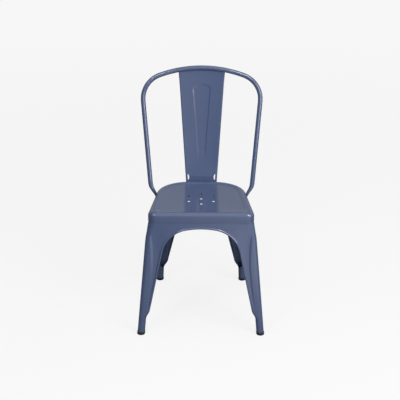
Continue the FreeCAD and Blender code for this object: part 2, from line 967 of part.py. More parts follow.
def inner_space():
    """The space inside the four legs round the level of the cross brace."""
    halves = []
    for rear, facing in ((False, -1), (True, 1)):
        wires = []
        for z in (brace_level - 2 * pad_height, brace_level + 2 * pad_height):
            bow = leg_bow(rear, z).grown(-sheet)
            seam = facing * seat_middle
            edges = []
            for side in (1, -1):
                edges += half_outline(bow, seam, lambda u, v: Vector(side * u, facing * v, z))
            half = bow.side(seam)
            edges.append(edge(Vector(half, seat_middle, z), Vector(-half, seat_middle, z)))
            wires.append(Part.Wire(Part.__sortEdges__(edges)))
        halves.append(lofted(wires, True))
    return halves[0].fuse(halves[1])


def brace_corner(rear, side):
    """Centre of a leg's corner at the level of the brace."""
    facing = 1 if rear else -1
    u, v = leg_bow(rear, brace_level).centre
    return Vector(side * u, facing * v, brace_level)


def brace_cross():
    """The point where the two strips of the brace cross."""
    a = brace_corner(False, 1)
    b = brace_corner(True, -1)
    share = a.x / (a.x - b.x)
    return a + (b - a) * share


def brace_end(rear, side):
    """The point of a leg's inner corner where a brace strip ends."""
    hub = brace_corner(rear, side)
    out = hub - brace_cross()
    out.normalize()
    return hub + out * (leg_bow(rear, brace_level).corner - sheet)


def brace_bar(side, joggled):
    """One strip of the brace, before its ends are trimmed to the legs."""
    a = brace_corner(False, side)
    b = brace_corner(True, -side)
    run = b - a
    run.normalize()
    wide = run.cross(Vector(0, 0, 1))
    middle = brace_cross()
    back = (brace_end(False, side) - middle).Length + brace_width
    fore = (brace_end(True, -side) - middle).Length + brace_width
    drop = brace_thickness if joggled else 0
    half = brace_joggle / 2
    line = [
        (-back, 0),
        (-half - brace_joggle_slope, 0),
        (-half, -drop),
        (half, -drop),
        (half + brace_joggle_slope, 0),
        (fore, 0),
    ]
    if not joggled:
        line = [line[0], line[-1]]
    top = [(s, h + brace_thickness) for s, h in reversed(line)]
    corner = middle - wide * (brace_width / 2)
    points = [corner + run * s + Vector(0, 0, h) for s, h in line + top]
    wire = Part.makePolygon(points + [points[0]])
    return prism(wire, wide * brace_width)


def pad_place(rear, side):
    """Where a stacking pad hangs under the brace."""
    middle = brace_cross()
    return middle + (brace_end(rear, side) - middle) * pad_reach


def make_brace():
    """The two crossed strips, the rivet at their crossing, four pads and the end welds."""
    space = inner_space()
    middle = brace_cross()
    pieces = {}
    strips = {}
    for name, side, joggled in (("brace_strip_upper", 1, False), ("brace_strip_lower", -1, True)):
        strips[name] = brace_bar(side, joggled).common(space)
    stack = 2 * brace_thickness
    hole = Part.makeCylinder(rivet_shank / 2, 2 * stack, middle - Vector(0, 0, stack))
    shank = Part.makeCylinder(rivet_shank / 2, stack, middle - Vector(0, 0, brace_thickness))
    heads = []
    for level, way in ((brace_thickness, 1), (-brace_thickness, -1)):
        base = middle + Vector(0, 0, level)
        heads.append(
            Part.makeCone(
                rivet_head / 2,
                rivet_shank / 2,
                rivet_head_height,
                base,
                Vector(0, 0, way),
            )
        )
    pieces["brace_rivet"] = shank.multiFuse(heads)
    for name in strips:
        strips[name] = strips[name].cut(hole)
    for rear, end in ((False, "front"), (True, "rear")):
        for side, hand in ((-1, "left"), (1, "right")):
            place = pad_place(rear, side)
            stem_length = pad_height + brace_thickness
            stem = Part.makeCylinder(pad_stem / 2, stem_length, place - Vector(0, 0, pad_height))
            disc = Part.makeCylinder(pad_diameter / 2, pad_height, place - Vector(0, 0, pad_height))
            top = place + Vector(0, 0, brace_thickness)
            button = Part.makeCone(pad_button / 2, pad_stem / 2, pad_button_height, top)
            pieces["stacking_pad_" + end + "_" + hand] = disc.multiFuse([stem, button])
            for name in strips:
                strips[name] = strips[name].cut(stem)
    pieces.update(strips)
    return pieces


def make_brace_welds(brace):
    """Fillet welds where the brace strips end on the inner corners of the legs."""
    welds = []
    space = inner_space()
    middle = brace_cross()
    for rear in (False, True):
        for side in (-1, 1):
            hub = brace_corner(rear, side)
            bow = leg_bow(rear, brace_level).grown(-sheet)
            out = hub - middle
            out.normalize()
            wide = out.cross(Vector(0, 0, 1))
            reach = bow.corner - weld_fillet / 2
            swing = brace_width / 2 / reach
            lift = Vector(0, 0, brace_thickness)
            points = []
            for turn in (-swing, 0, swing):
                along = out * math.cos(turn) + wide * math.sin(turn)
                points.append(hub + lift + along * reach)
            path = Part.Wire([arc(*points)])
            tangent = out * math.sin(swing) + wide * math.cos(swing)
            ring = Part.Wire([Part.makeCircle(weld_fillet, points[0], tangent)])
            rod = path.makePipeShell([ring], True, False).common(space)
            for strip in ("brace_strip_upper", "brace_strip_lower"):
                rod = rod.cut(brace[strip])
            welds.append(rod)
    return Part.makeCompound(welds)


def make_chair():
    """Every piece of the chair under its own name."""
    pieces = {}
    pieces["seat_pan"] = make_seat_pan()
    for rear, end in ((False, "front"), (True, "rear")):
        leg = make_leg(rear, 1)
        pieces["leg_" + end + "_right"] = leg
        pieces["leg_" + end + "_left"] = mirrored(leg)
        cap = make_foot_cap(rear, 1)
        pieces["foot_cap_" + end + "_right"] = cap
        pieces["foot_cap_" + end + "_left"] = mirrored(cap)
    hoop, weld_right, weld_left = make_hoop(pieces)
    pieces["back_hoop"] = hoop
    pieces["hoop_weld_right"] = weld_right
    pieces["hoop_weld_left"] = weld_left
    splat, plugs = make_splat()
    pieces["back_splat"] = splat
    pieces["splat_top_weld"] = make_splat_weld(splat)
    pieces["splat_foot_weld"] = Part.makeCompound([p.cut(pieces["seat_pan"]) for p in plugs])
    brace = make_brace()
    pieces.update(brace)
    pieces["brace_end_weld"] = make_brace_welds(brace)
    return pieces


os.makedirs("parts", exist_ok=True)
for name, shape in make_chair().items():
    shape.exportStep("parts/" + name + ".step")
    print(name, len(shape.Solids), shape.isValid(), round(shape.Volume))
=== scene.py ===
import math
from types import SimpleNamespace

import bmesh
import bpy
import numpy as np
from mathutils import Matrix, Vector


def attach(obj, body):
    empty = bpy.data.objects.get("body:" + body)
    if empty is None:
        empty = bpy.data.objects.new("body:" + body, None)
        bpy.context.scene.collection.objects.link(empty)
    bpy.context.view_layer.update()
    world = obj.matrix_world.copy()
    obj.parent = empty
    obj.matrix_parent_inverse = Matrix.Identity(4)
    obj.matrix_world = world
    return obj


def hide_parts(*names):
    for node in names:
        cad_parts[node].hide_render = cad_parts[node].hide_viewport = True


# A stacking bistro chair of pressed sheet steel with a bent tube back, painted blue grey.
# Metres. X runs across the chair, -Y is its front, Z is up and the floor is Z = 0.
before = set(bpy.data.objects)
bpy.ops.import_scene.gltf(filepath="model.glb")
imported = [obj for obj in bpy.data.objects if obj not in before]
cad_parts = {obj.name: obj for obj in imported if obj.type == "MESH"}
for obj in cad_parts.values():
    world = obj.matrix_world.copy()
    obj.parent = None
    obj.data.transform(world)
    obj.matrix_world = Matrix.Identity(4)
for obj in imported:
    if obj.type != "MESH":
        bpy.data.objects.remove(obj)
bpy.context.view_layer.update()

# THE SEAT PAN. One sheet of steel, deep drawn with a rolled rim and a shallow dish, and
# punched with seven drain holes. It sits over the collars of the legs and is welded to
# them from inside; the whole chair then gets a thick glossy powder coat, baked on.
SHEET = 0.0012
SEAT_TOP = 0.436
RIM_LEVEL = 0.402
RIM_ROLL = 0.015
SEAT_FRONT = -0.18196
SEAT_DEPTH = 0.335
SEAT_MIDDLE = SEAT_FRONT + SEAT_DEPTH / 2
SEAT_HALF = 0.16675
SEAT_TAPER = 0.106
FRONT_CORNER = 0.025
REAR_CORNER = 0.117
REAR_CROWN = 0.459
STRAIGHT = 1e4
DISH_START = 0.021
DISH_END = 0.031
DISH_DEPTH = 0.003
DISH_CORNER = 0.018
HOLE_RADIUS = 0.0045
HOLE_LIP = 0.0007
HOLE_CIRCLE = 0.050
HOLE_CENTRE = -0.030
HOLE_COUNT = 6
HOLE_SIDES = 40
HOLE_LIP_RUN = (4, 1.3, 1, 0.3, 0, 0, 0.4, 4)
HOLE_LIP_DROP = (0, 0, 0, 0.3, 1)
WALL_FOOT = 0.008
FRONT_POINTS = (12, 14, 10)
REAR_POINTS = (12, 24, 10)
DISH_ROWS = 10
BORDER_ROWS = 3
ROLL_ROWS = 12
SHARP_ANGLE = math.radians(38)

PAINT_COLOUR = (0.077, 0.106, 0.203)
PAINT_SHADE = (0.070, 0.097, 0.187)
PAINT_ROUGHNESS = 0.13
PAINT_IOR = 1.5
CLOUD_SCALE = 9.0
PEEL_SIZE = 0.0022
PEEL_HEIGHT = 0.0000025


def make_paint():
    """A glossy coat: broad clouds shade its colour, and fine orange peel tips the surface."""
    material = bpy.data.materials.new("blue_grey_powder_coat")
    material.use_nodes = True
    nodes = material.node_tree.nodes
    links = material.node_tree.links
    shader = nodes["Principled BSDF"]
    shader.inputs["Roughness"].default_value = PAINT_ROUGHNESS
    shader.inputs["IOR"].default_value = PAINT_IOR
    place = nodes.new("ShaderNodeTexCoord")
    clouds = nodes.new("ShaderNodeTexNoise")
    clouds.inputs["Scale"].default_value = CLOUD_SCALE
    clouds.inputs["Detail"].default_value = 3.0
    colours = nodes.new("ShaderNodeMix")
    colours.data_type = "RGBA"
    colours.inputs["A"].default_value = (*PAINT_SHADE, 1.0)
    colours.inputs["B"].default_value = (*PAINT_COLOUR, 1.0)
    peel = nodes.new("ShaderNodeTexNoise")
    peel.inputs["Scale"].default_value = 1 / PEEL_SIZE
    peel.inputs["Detail"].default_value = 1.0
    bump = nodes.new("ShaderNodeBump")
    bump.inputs["Strength"].default_value = 1.0
    bump.inputs["Distance"].default_value = PEEL_HEIGHT
    links.new(place.outputs["Object"], clouds.inputs["Vector"])
    links.new(clouds.outputs["Fac"], colours.inputs["Factor"])
    links.new(colours.outputs["Result"], shader.inputs["Base Color"])
    links.new(place.outputs["Object"], peel.inputs["Vector"])
    links.new(peel.outputs["Fac"], bump.inputs["Height"])
    links.new(bump.outputs["Normal"], shader.inputs["Normal"])
    return material


def smooth_step(t):
    """A smooth step: 3 t^2 - 2 t^3, with t kept between 0 and 1."""
    t = np.clip(t, 0.0, 1.0)
    return t * t * (3 - 2 * t)


def corner_bow(top, crown, corner, half, level, slope):
    """Half of an outline: a crown arc from u = 0, a corner arc and a straight side.

    The corner arc touches the other two, so its centre is on the side line moved in by
    its radius, where its distance from the crown's hub is the crown less the corner. The
    side line has half width `half` at v = level and gains `slope` for each unit of v.
    """
    scale = np.hypot(1, slope)
    out_u, out_v = 1 / scale, -slope / scale
    start_u = half - corner * out_u
    start_v = level - corner * out_v
    hub = top - crown
    mean = start_u * slope / scale + (start_v - hub) / scale
    rest = start_u ** 2 + (start_v - hub) ** 2 - (crown - corner) ** 2
    step = np.sqrt(mean ** 2 - rest) - mean
    centre_u = start_u + step * slope / scale
    centre_v = start_v + step / scale
    return SimpleNamespace(
        hub=hub,
        crown=crown,
        corner=corner,
        half=half,
        level=level,
        slope=slope,
        centre_u=centre_u,
        centre_v=centre_v,
        up=np.arctan2(centre_v - hub, centre_u),
        out=np.arctan2(out_v, out_u),
        joint_u=centre_u * crown / (crown - corner),
        side_v=centre_v + corner * out_v,
    )


def bow_points(bow, counts, low):
    """Points (u, v) along a bow: its crown, its corner, and its side down to v = low."""
    crown_u = bow.joint_u * np.arange(counts[0]) / counts[0]
    crown_v = bow.hub + np.sqrt(bow.crown ** 2 - crown_u ** 2)
    turn = bow.up + (bow.out - bow.up) * np.arange(counts[1]) / counts[1]
    side_v = bow.side_v + (low - bow.side_v) * np.linspace(0, 1, counts[2])
    u = [crown_u, bow.centre_u + bow.corner * np.cos(turn), bow.half + bow.slope * (side_v - bow.level)]
    v = [crown_v, bow.centre_v + bow.corner * np.sin(turn), side_v]
    return np.concatenate(u), np.concatenate(v)


def seat_bow(rear, inset, corner=None):
    """The front or rear half of the seat's outline, moved inwards; v runs outwards."""
    half = SEAT_HALF - inset * math.hypot(1, SEAT_TAPER)
    if rear:
        top = SEAT_FRONT + SEAT_DEPTH - inset
        return corner_bow(top, REAR_CROWN - inset, REAR_CORNER - inset, half, SEAT_MIDDLE, -SEAT_TAPER)
    corner = FRONT_CORNER - inset if corner is None else corner
    return corner_bow(-SEAT_FRONT - inset, STRAIGHT, corner, half, -SEAT_MIDDLE, SEAT_TAPER)


def seat_loop(inset, corner, z):
    """The closed seat outline at one inset and height, from its front middle round."""
    fore_u, fore_v = bow_points(seat_bow(False, inset, corner), FRONT_POINTS, -SEAT_MIDDLE)
    back_u, back_v = bow_points(seat_bow(True, inset), REAR_POINTS, SEAT_MIDDLE)
    u = np.concatenate([fore_u, back_u[-2::-1]])
    v = np.concatenate([-fore_v, back_v[-2::-1]])
    x = np.concatenate([u, -u[-2:0:-1]])
    y = np.concatenate([v, v[-2:0:-1]])
    return np.stack([x, y, np.full_like(x, z)], axis=1)


def grid_faces(rows, columns, ring=False):
    """Four-sided faces of a grid of points; a ring also joins each row's end to its start."""
    across = columns if ring else columns - 1
    row, column = np.meshgrid(np.arange(rows - 1), np.arange(across), indexing="ij")
    after = (column + 1) % columns
    corners = [row * columns + column, row * columns + after]
    corners += [(row + 1) * columns + after, (row + 1) * columns + column]
    return np.stack(corners, axis=-1).reshape(-1, 4)


def join_grids(name, grids, merge=1e-5):
    """One mesh from pairs of points and faces, with the points that meet made one."""
    points = np.concatenate([p.reshape(-1, 3) for p, f in grids])
    starts = np.cumsum([0] + [p.size // 3 for p, f in grids[:-1]])
    faces = np.concatenate([f + s for (p, f), s in zip(grids, starts)])
    mesh = bpy.data.meshes.new(name)
    mesh.from_pydata(points.tolist(), [], faces.tolist())
    if merge:
        work = bmesh.new()
        work.from_mesh(mesh)
        bmesh.ops.remove_doubles(work, verts=work.verts, dist=merge)
        work.to_mesh(mesh)
        work.free()
    return mesh


def add_piece(name, mesh, finish, slot, *nodes):
    """Put a finished mesh in the scene as a piece that stands for CAD nodes."""
    for polygon in mesh.polygons:
        polygon.use_smooth = True
    mesh.set_sharp_from_angle(angle=SHARP_ANGLE)
    mesh.materials.clear()
    mesh.materials.append(finish)
    piece = bpy.data.objects.new(name, mesh)
    bpy.context.scene.collection.objects.link(piece)
    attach(piece, "root")
    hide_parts(*nodes)


def pan_profile():
    """Insets, levels and front corner radii of the pan's section.

    It starts at the dish floor, comes up a smooth step to the border, goes over the roll
    (a quarter circle) and down the wall, and comes back under the sheet.
    """
    rise = np.linspace(1, 0, DISH_ROWS + 1)
    inset = [DISH_START + (DISH_END - DISH_START) * rise]
    level = [SEAT_TOP - DISH_DEPTH * smooth_step(rise)]
    border = np.linspace(DISH_START, RIM_ROLL, BORDER_ROWS + 1)[1:]
    inset.append(border)
    level.append(np.full_like(border, SEAT_TOP))
    turn = np.linspace(math.pi / 2, 0, ROLL_ROWS + 1)[1:]
    inset.append(RIM_ROLL - RIM_ROLL * np.cos(turn))
    level.append(SEAT_TOP - RIM_ROLL + RIM_ROLL * np.sin(turn))
    inset.append(np.array([0.0, 0.0, SHEET / 4]))
    level.append(np.array([RIM_LEVEL + WALL_FOOT, RIM_LEVEL + SHEET / 4, RIM_LEVEL]))
    inset = np.concatenate(inset)
    level = np.concatenate(level)
    run = np.gradient(inset)
    fall = np.gradient(level)
    length = np.hypot(run, fall)
    under_inset = inset - SHEET * fall / length
    under_level = level + SHEET * run / length
    under_level[-1] = RIM_LEVEL
    under_inset[-1] = SHEET * 3 / 4
    inset = np.concatenate([inset, under_inset[::-1]])
    level = np.concatenate([level, under_level[::-1]])
    share = smooth_step((inset - RIM_ROLL) / (DISH_START - RIM_ROLL))
    corner = FRONT_CORNER - np.minimum(inset, RIM_ROLL)
    return inset, level, corner + (DISH_CORNER - corner) * share


def fill_between(work, loops):
    """Close a flat region with triangles between an outer loop and the holes in it."""
    edges = []
    for loop in loops:
        for first, second in zip(loop, np.roll(loop, -1)):
            edges.append(work.edges.get((work.verts[first], work.verts[second])))
    bmesh.ops.triangle_fill(work, use_beauty=True, use_dissolve=False, edges=edges)


def make_pan():
    """The pan: a stack of loops round the seat, and the holed dish floor above and below.

    A hole is a stack of rings that rounds the dish floor's edge and ends under the sheet.
    """
    inset, level, corner = pan_profile()
    loops = np.stack([seat_loop(i, c, z) for i, z, c in zip(inset, level, corner)])
    rows, columns = loops.shape[:2]
    floor, under = level[0], level[-1]
    turn = 2 * math.pi * np.arange(HOLE_SIDES) / HOLE_SIDES
    reach = HOLE_RADIUS + HOLE_LIP * np.array(HOLE_LIP_RUN)
    upper = floor - HOLE_LIP * np.array(HOLE_LIP_DROP)
    depth = np.concatenate([upper, [under + HOLE_LIP / 2, under, under]])
    ring = np.stack(
        [
            reach[:, None] * np.cos(turn),
            HOLE_CENTRE + reach[:, None] * np.sin(turn),
            depth[:, None] + 0 * turn,
        ],
        axis=2,
    )
    grids = [(loops, grid_faces(rows, columns, ring=True))]
    top_loops = [np.arange(columns)]
    under_loops = [np.arange(columns) + (rows - 1) * columns]
    start = rows * columns
    for index in range(HOLE_COUNT + 1):
        angle = math.radians(90) + 2 * math.pi * index / HOLE_COUNT
        shift = HOLE_CIRCLE * np.array([math.cos(angle), math.sin(angle), 0.0]) * (index < HOLE_COUNT)
        grids.append((ring + shift, grid_faces(len(reach), HOLE_SIDES, ring=True)))
        top_loops.append(np.arange(HOLE_SIDES) + start)
        under_loops.append(np.arange(HOLE_SIDES) + start + (len(reach) - 1) * HOLE_SIDES)
        start += len(reach) * HOLE_SIDES
    mesh = join_grids("pressed_seat", grids, merge=0)
    work = bmesh.new()
    work.from_mesh(mesh)
    work.verts.ensure_lookup_table()
    fill_between(work, [loop.tolist() for loop in top_loops])
    fill_between(work, [loop.tolist() for loop in under_loops])
    bmesh.ops.recalc_face_normals(work, faces=work.faces)
    work.to_mesh(mesh)
    work.free()
    return mesh


paint = make_paint()
add_piece("pressed_seat", make_pan(), paint, "paint", "seat_pan")

# THE FOUR CORNER LEGS. Each is one pressing of the same sheet: its halves of two aprons,
# with a bead rolled along the arches, wings that are set back beside a rounded corner, and
# below them the sheet rolls shut into the foot tube. Seams in the aprons are ground flush.
COLLAR_TOP = 0.420
APRON_SLOPE = 0.18
APRON_STRAIGHT = 0.008
SHOULDER_DROP = 0.076
REAR_SHOULDER = 0.072
FRONT_SPLAY = 0.0585
FRONT_SIDE_SPLAY = 0.0343
REAR_SPLAY = 0.0840
REAR_SIDE_SPLAY = 0.0326
FRONT_LEG_CORNER = 0.017
REAR_LEG_CORNER = 0.024
LEG_CROWN = 4.0
FOOT_RADIUS = 0.01275
FOOT_END = 0.004
CHANNEL_END = 0.090
TUBE_END = 0.056
LIP_RADIUS = 0.006
LIP_TURN = math.radians(100)
TUBE_SEAM = 0.0004

ARCH_TOP = 0.379
ARCH_LEVEL = 0.180
# Of each arch: its crown's radius, its corner's radius, its half width at ARCH_LEVEL and
# how much that half width grows for each unit further down.
ARCH_SHAPES = {
    ("front", "cross"): (0.288, 0.100, 0.158, 0.215),
    ("rear", "cross"): (0.240, 0.052, 0.106, 0.244),
    ("front", "flank"): (0.288, 0.100, 0.152, 0.254),
    ("rear", "flank"): (0.288, 0.100, 0.160, 0.362),
}
BEAD_RADIUS = 0.0036
BEAD_PROUD = 0.0016
BEAD_CURL = math.radians(255)
BEAD_SHOULDER = math.radians(48)
BEAD_FOOT = 0.0095
BEAD_LANDING = 0.6
BEAD_FADE = 0.03
KNEE_LEVEL = 0.280
HIP_LEVEL = 0.340
EDGE_TURN = 0.05
# The set-back wings: their depth by level, the crease's place beside the corner by level,
# and how far the wing's floor reaches from it.
RECESS_LEVELS = (0.085, 0.120, 0.160, 0.290, 0.330, 0.365, 0.396)
RECESS_DEPTHS = (0.0, 0.0014, 0.0026, 0.0026, 0.0019, 0.0008, 0.0)
CREASE_LEVELS = (0.096, 0.240, 0.265, 0.320, 0.358, 0.396)
CREASE_PLACES = (-0.0135, -0.0145, -0.013, -0.007, 0.0045, 0.016)
CREASE_WIDTH = 0.005
CREASE_SHIFT = 0.3
RECESS_REACH = 0.045

APRON_ROWS = 44
LEG_ROWS = 64
NECK_ROWS = 12
TUBE_ROWS = 3
ARCH_POINTS = (60, 80, 60)
# The arch's point where the rows of the apron end and the rows of the leg begin.
SHOULDER_POINT = 90
BEAD_COLUMNS = 18
WING_COLUMNS = 16
CORNER_COLUMNS = 12


def run_out(drop, splay):
    """How far a leg face has run outwards at a drop below the rim.

    The apron leaves the rim at one slope. Over the shoulder the slope changes evenly into
    that of the straight leg, which is such that the foot comes out by the whole splay.
    """
    ease = SHOULDER_DROP - APRON_STRAIGHT
    start = APRON_SLOPE * (APRON_STRAIGHT + ease / 2)
    slope = (splay - start) / (ease / 2 + RIM_LEVEL - SHOULDER_DROP)
    run = np.clip(drop - APRON_STRAIGHT, 0, ease)
    upper = APRON_SLOPE * np.minimum(drop, SHOULDER_DROP) - (APRON_SLOPE - slope) * run ** 2 / (2 * ease)
    return upper + slope * np.maximum(drop - SHOULDER_DROP, 0)


def leg_bow(end, z):
    """The outer outline of the front or rear legs at height z."""
    drop = np.maximum(RIM_LEVEL - z, 0)
    fall = np.clip((RIM_LEVEL - z) / (RIM_LEVEL - TUBE_END), 0, 1)
    rear = end == "rear"
    rim = seat_bow(rear, SHEET)
    turn = REAR_LEG_CORNER if rear else FRONT_LEG_CORNER
    shoulder = REAR_SHOULDER if rear else SHOULDER_DROP
    low = turn + (FOOT_RADIUS - turn) * fall
    share = smooth_step(drop / shoulder)
    corner = rim.corner + (low - rim.corner) * share
    crown = 1 / (1 / rim.crown + (1 / LEG_CROWN - 1 / rim.crown) * share) if rear else STRAIGHT
    top = rim.hub + rim.crown + run_out(drop, REAR_SPLAY if rear else FRONT_SPLAY)
    half = rim.half + run_out(drop, REAR_SIDE_SPLAY if rear else FRONT_SIDE_SPLAY)
    return corner_bow(top, crown, corner, half, rim.level, rim.slope)


def leg_joint(end, face, z):
    """Where a leg's flat face meets its rounded corner, and the corner's middle."""
    bow = leg_bow(end, z)
    start = bow.joint_u if face == "cross" else bow.side_v - bow.level
    return start, start + bow.corner * (bow.up - bow.out) / 2


def leg_face(end, face, w, z):
    """Point (u, v) and level outward angle of a leg's outer face.

    w runs along the outline from the seam in the middle of the apron: along the flat
    face first, and then round the corner arc, where w / radius is an angle.
    """
    bow = leg_bow(end, z)
    start = leg_joint(end, face, z)[0]
    over = np.maximum(w - start, 0) / bow.corner
    flat = np.minimum(w, start)
    if face == "cross":
        flat_u, flat_v = flat, bow.hub + np.sqrt(bow.crown ** 2 - flat ** 2)
        angle = np.where(over > 0, bow.up - over, np.arctan2(flat_v - bow.hub, flat_u))
    else:
        flat_u, flat_v = bow.half + bow.slope * flat, bow.level + flat
        angle = bow.out + over
    u = np.where(over > 0, bow.centre_u + bow.corner * np.cos(angle), flat_u)
    v = np.where(over > 0, bow.centre_v + bow.corner * np.sin(angle), flat_v)
    return u, v, angle


def arch_line(end, face):
    """Points, lengths and outward normals along one half of an arch, from its crown."""
    crown, corner, half, slope = ARCH_SHAPES[end, face]
    bow = corner_bow(ARCH_TOP, crown, corner, half, ARCH_LEVEL, -slope)
    w, z = bow_points(bow, ARCH_POINTS, CHANNEL_END)
    length = np.concatenate([[0], np.cumsum(np.hypot(np.diff(w), np.diff(z)))])
    run, fall = np.gradient(w, length), np.gradient(z, length)
    scale = np.hypot(run, fall)
    shoulder = length[SHOULDER_POINT]
    return SimpleNamespace(w=w, z=z, length=length, n_w=-fall / scale, n_z=run / scale, shoulder=shoulder)


def bead_section():
    """The rolled bead's section (reach from the opening, height over the sheet).

    It is a circle of the bead's radius, from the end of the curl behind the sheet round
    the opening's edge and over the top, and then a cubic that lands on the sheet.
    """
    round_part = BEAD_COLUMNS * 3 // 4
    turn = np.linspace(BEAD_CURL, BEAD_SHOULDER, round_part)
    reach = BEAD_RADIUS + BEAD_RADIUS * np.cos(turn)
    height = BEAD_PROUD - BEAD_RADIUS + BEAD_RADIUS * np.sin(turn)
    t = np.linspace(0, 1, BEAD_COLUMNS - round_part + 1)[1:]
    gap = BEAD_FOOT - reach[-1]
    slope = -gap / math.tan(BEAD_SHOULDER)
    start = (2 * t ** 3 - 3 * t ** 2 + 1) * height[-1]
    land = start + (t ** 3 - 2 * t ** 2 + t) * slope * BEAD_LANDING
    return np.concatenate([reach, reach[-1] + gap * t]), np.concatenate([height, land])


def leg_half(end, face):
    """One half of a leg, seam to corner, as a grid of points and its faces.

    Rows go along the apron and then down the leg. Each row starts behind the bead, goes
    over it, across the wing and round half of the corner. The wing is set back by a
    smooth step beside the crease, which runs from the foot up to the seat's corner.
    """
    arch = arch_line(end, face)
    share = np.linspace(0, 1, APRON_ROWS + 1)
    rim_middle = leg_joint(end, face, RIM_LEVEL)[1]
    hip = leg_joint(end, face, RIM_LEVEL - APRON_STRAIGHT)[0]
    along = share * arch.shoulder
    apron = [share * rim_middle, np.full_like(share, RIM_LEVEL)]
    apron += [share * hip, np.full_like(share, RIM_LEVEL - APRON_STRAIGHT)]
    apron += [np.interp(along, arch.length, value) for value in (arch.w, arch.z, arch.n_w, arch.n_z)]

    z = np.concatenate(
        [
            np.linspace(RIM_LEVEL, CHANNEL_END, LEG_ROWS + 1)[1:],
            np.linspace(CHANNEL_END, TUBE_END, NECK_ROWS + 1)[1:],
            np.linspace(TUBE_END, FOOT_END, TUBE_ROWS + 1)[1:],
        ]
    )
    lift = np.clip((z - KNEE_LEVEL) / (RIM_LEVEL - KNEE_LEVEL), 0, 1)
    shoulder_z = np.interp(arch.shoulder, arch.length, arch.z)
    edge_z = np.where(z > KNEE_LEVEL, KNEE_LEVEL + lift * (shoulder_z - KNEE_LEVEL), z)
    below = arch.z[::-1]
    edge_w = np.interp(edge_z, below, arch.w[::-1])
    level = smooth_step((z - CHANNEL_END) / EDGE_TURN)
    n_w = np.interp(edge_z, below, arch.n_w[::-1]) * level + 1 - level
    n_z = np.interp(edge_z, below, arch.n_z[::-1]) * level
    joint, middle = leg_joint(end, face, z)
    shut = smooth_step((CHANNEL_END - z) / (CHANNEL_END - TUBE_END))
    lip = LIP_RADIUS + (FOOT_RADIUS - LIP_RADIUS) * shut
    end_joint = leg_joint(end, face, CHANNEL_END)[0]
    flat = (end_joint - LIP_RADIUS - arch.w[-1]) * (1 - shut) + TUBE_SEAM * shut
    edge_w = np.where(z < CHANNEL_END, joint - flat - lip, edge_w)
    hip_z = z - APRON_STRAIGHT * np.clip((z - HIP_LEVEL) / (RIM_LEVEL - HIP_LEVEL), 0, 1)
    hip_w = leg_joint(end, face, hip_z)[0]
    leg = [middle, z, hip_w, hip_z, edge_w, edge_z, n_w, n_z]
    outer_w, outer_z, hip_w, hip_z, edge_w, edge_z, n_w, n_z = (
        np.concatenate([a, b])[:, None] for a, b in zip(apron, leg)
    )
    rows = len(outer_w)

    reach, height = bead_section()
    closed = (leg_bow(end, TUBE_END).up - leg_bow(end, TUBE_END).out) / 2
    turn = LIP_TURN * (1 - shut) + (math.pi - closed - TUBE_SEAM / (2 * FOOT_RADIUS)) * shut
    pad = np.zeros(APRON_ROWS + 1)
    lip = np.concatenate([pad + LIP_RADIUS, lip])[:, None]
    turn = np.concatenate([pad + LIP_TURN, turn])[:, None]
    beaded = np.concatenate([pad + 1, smooth_step((z - CHANNEL_END) / BEAD_FADE)])[:, None]
    angle = math.pi / 2 + turn * np.linspace(1, 0, BEAD_COLUMNS)
    reach = beaded * reach + (1 - beaded) * (lip + lip * np.cos(angle))
    height = beaded * height + (1 - beaded) * (lip * np.sin(angle) - lip)

    t = np.linspace(0, 1, WING_COLUMNS + 1)[1:]
    s = np.linspace(0, 1, CORNER_COLUMNS + 1)[1:]
    wing_w = edge_w + reach[:, -1:] * n_w
    wing_z = edge_z + reach[:, -1:] * n_z
    w = [edge_w + reach * n_w, wing_w + (hip_w - wing_w) * t, hip_w + (outer_w - hip_w) * s]
    z = [edge_z + reach * n_z, wing_z + (hip_z - wing_z) * t, hip_z + (outer_z - hip_z) * s]
    w, z = np.concatenate(w, axis=1), np.concatenate(z, axis=1)
    flat_columns = WING_COLUMNS + CORNER_COLUMNS
    height = np.concatenate([height, np.zeros((rows, flat_columns))], axis=1)
    clear = smooth_step((reach - BEAD_RADIUS) / (BEAD_FOOT - BEAD_RADIUS))
    clear = np.concatenate([clear, np.ones((rows, flat_columns))], axis=1)
    crease = leg_joint(end, face, z)[0] + np.interp(z, CREASE_LEVELS, CREASE_PLACES)
    beside = crease - w
    recess = smooth_step(beside / CREASE_WIDTH + CREASE_SHIFT)
    recess = recess * (1 - smooth_step(beside / RECESS_REACH - CREASE_SHIFT))
    height = height - np.interp(z, RECESS_LEVELS, RECESS_DEPTHS) * recess * clear
    u, v, angle = leg_face(end, face, w, z)
    points = np.stack([u + height * np.cos(angle), v + height * np.sin(angle), z], axis=2)

    collar_z = np.array([RIM_LEVEL, (RIM_LEVEL + COLLAR_TOP) / 2, COLLAR_TOP])
    collar_w = (share * rim_middle)[:, None] + 0 * collar_z
    u, v, angle = leg_face(end, face, collar_w, collar_z + 0 * collar_w)
    collar = np.stack([u, v, collar_z + 0 * collar_w], axis=2)
    faces = grid_faces(rows, w.shape[1])
    collar_faces = grid_faces(APRON_ROWS + 1, 3)
    if face == "flank":
        faces, collar_faces = faces[:, ::-1], collar_faces[:, ::-1]
    return [(points, faces), (collar, collar_faces)]


def thicken(mesh, depth):
    """Give a surface a wall behind it, and bake that wall into the mesh."""
    shell = bpy.data.objects.new("shell", mesh)
    bpy.context.scene.collection.objects.link(shell)
    wall = shell.modifiers.new("wall", "SOLIDIFY")
    wall.thickness = depth
    wall.offset = -1
    wall.use_even_offset = True
    baked = bpy.data.meshes.new_from_object(shell.evaluated_get(bpy.context.evaluated_depsgraph_get()))
    baked.name = mesh.name
    bpy.data.objects.remove(shell)
    return baked


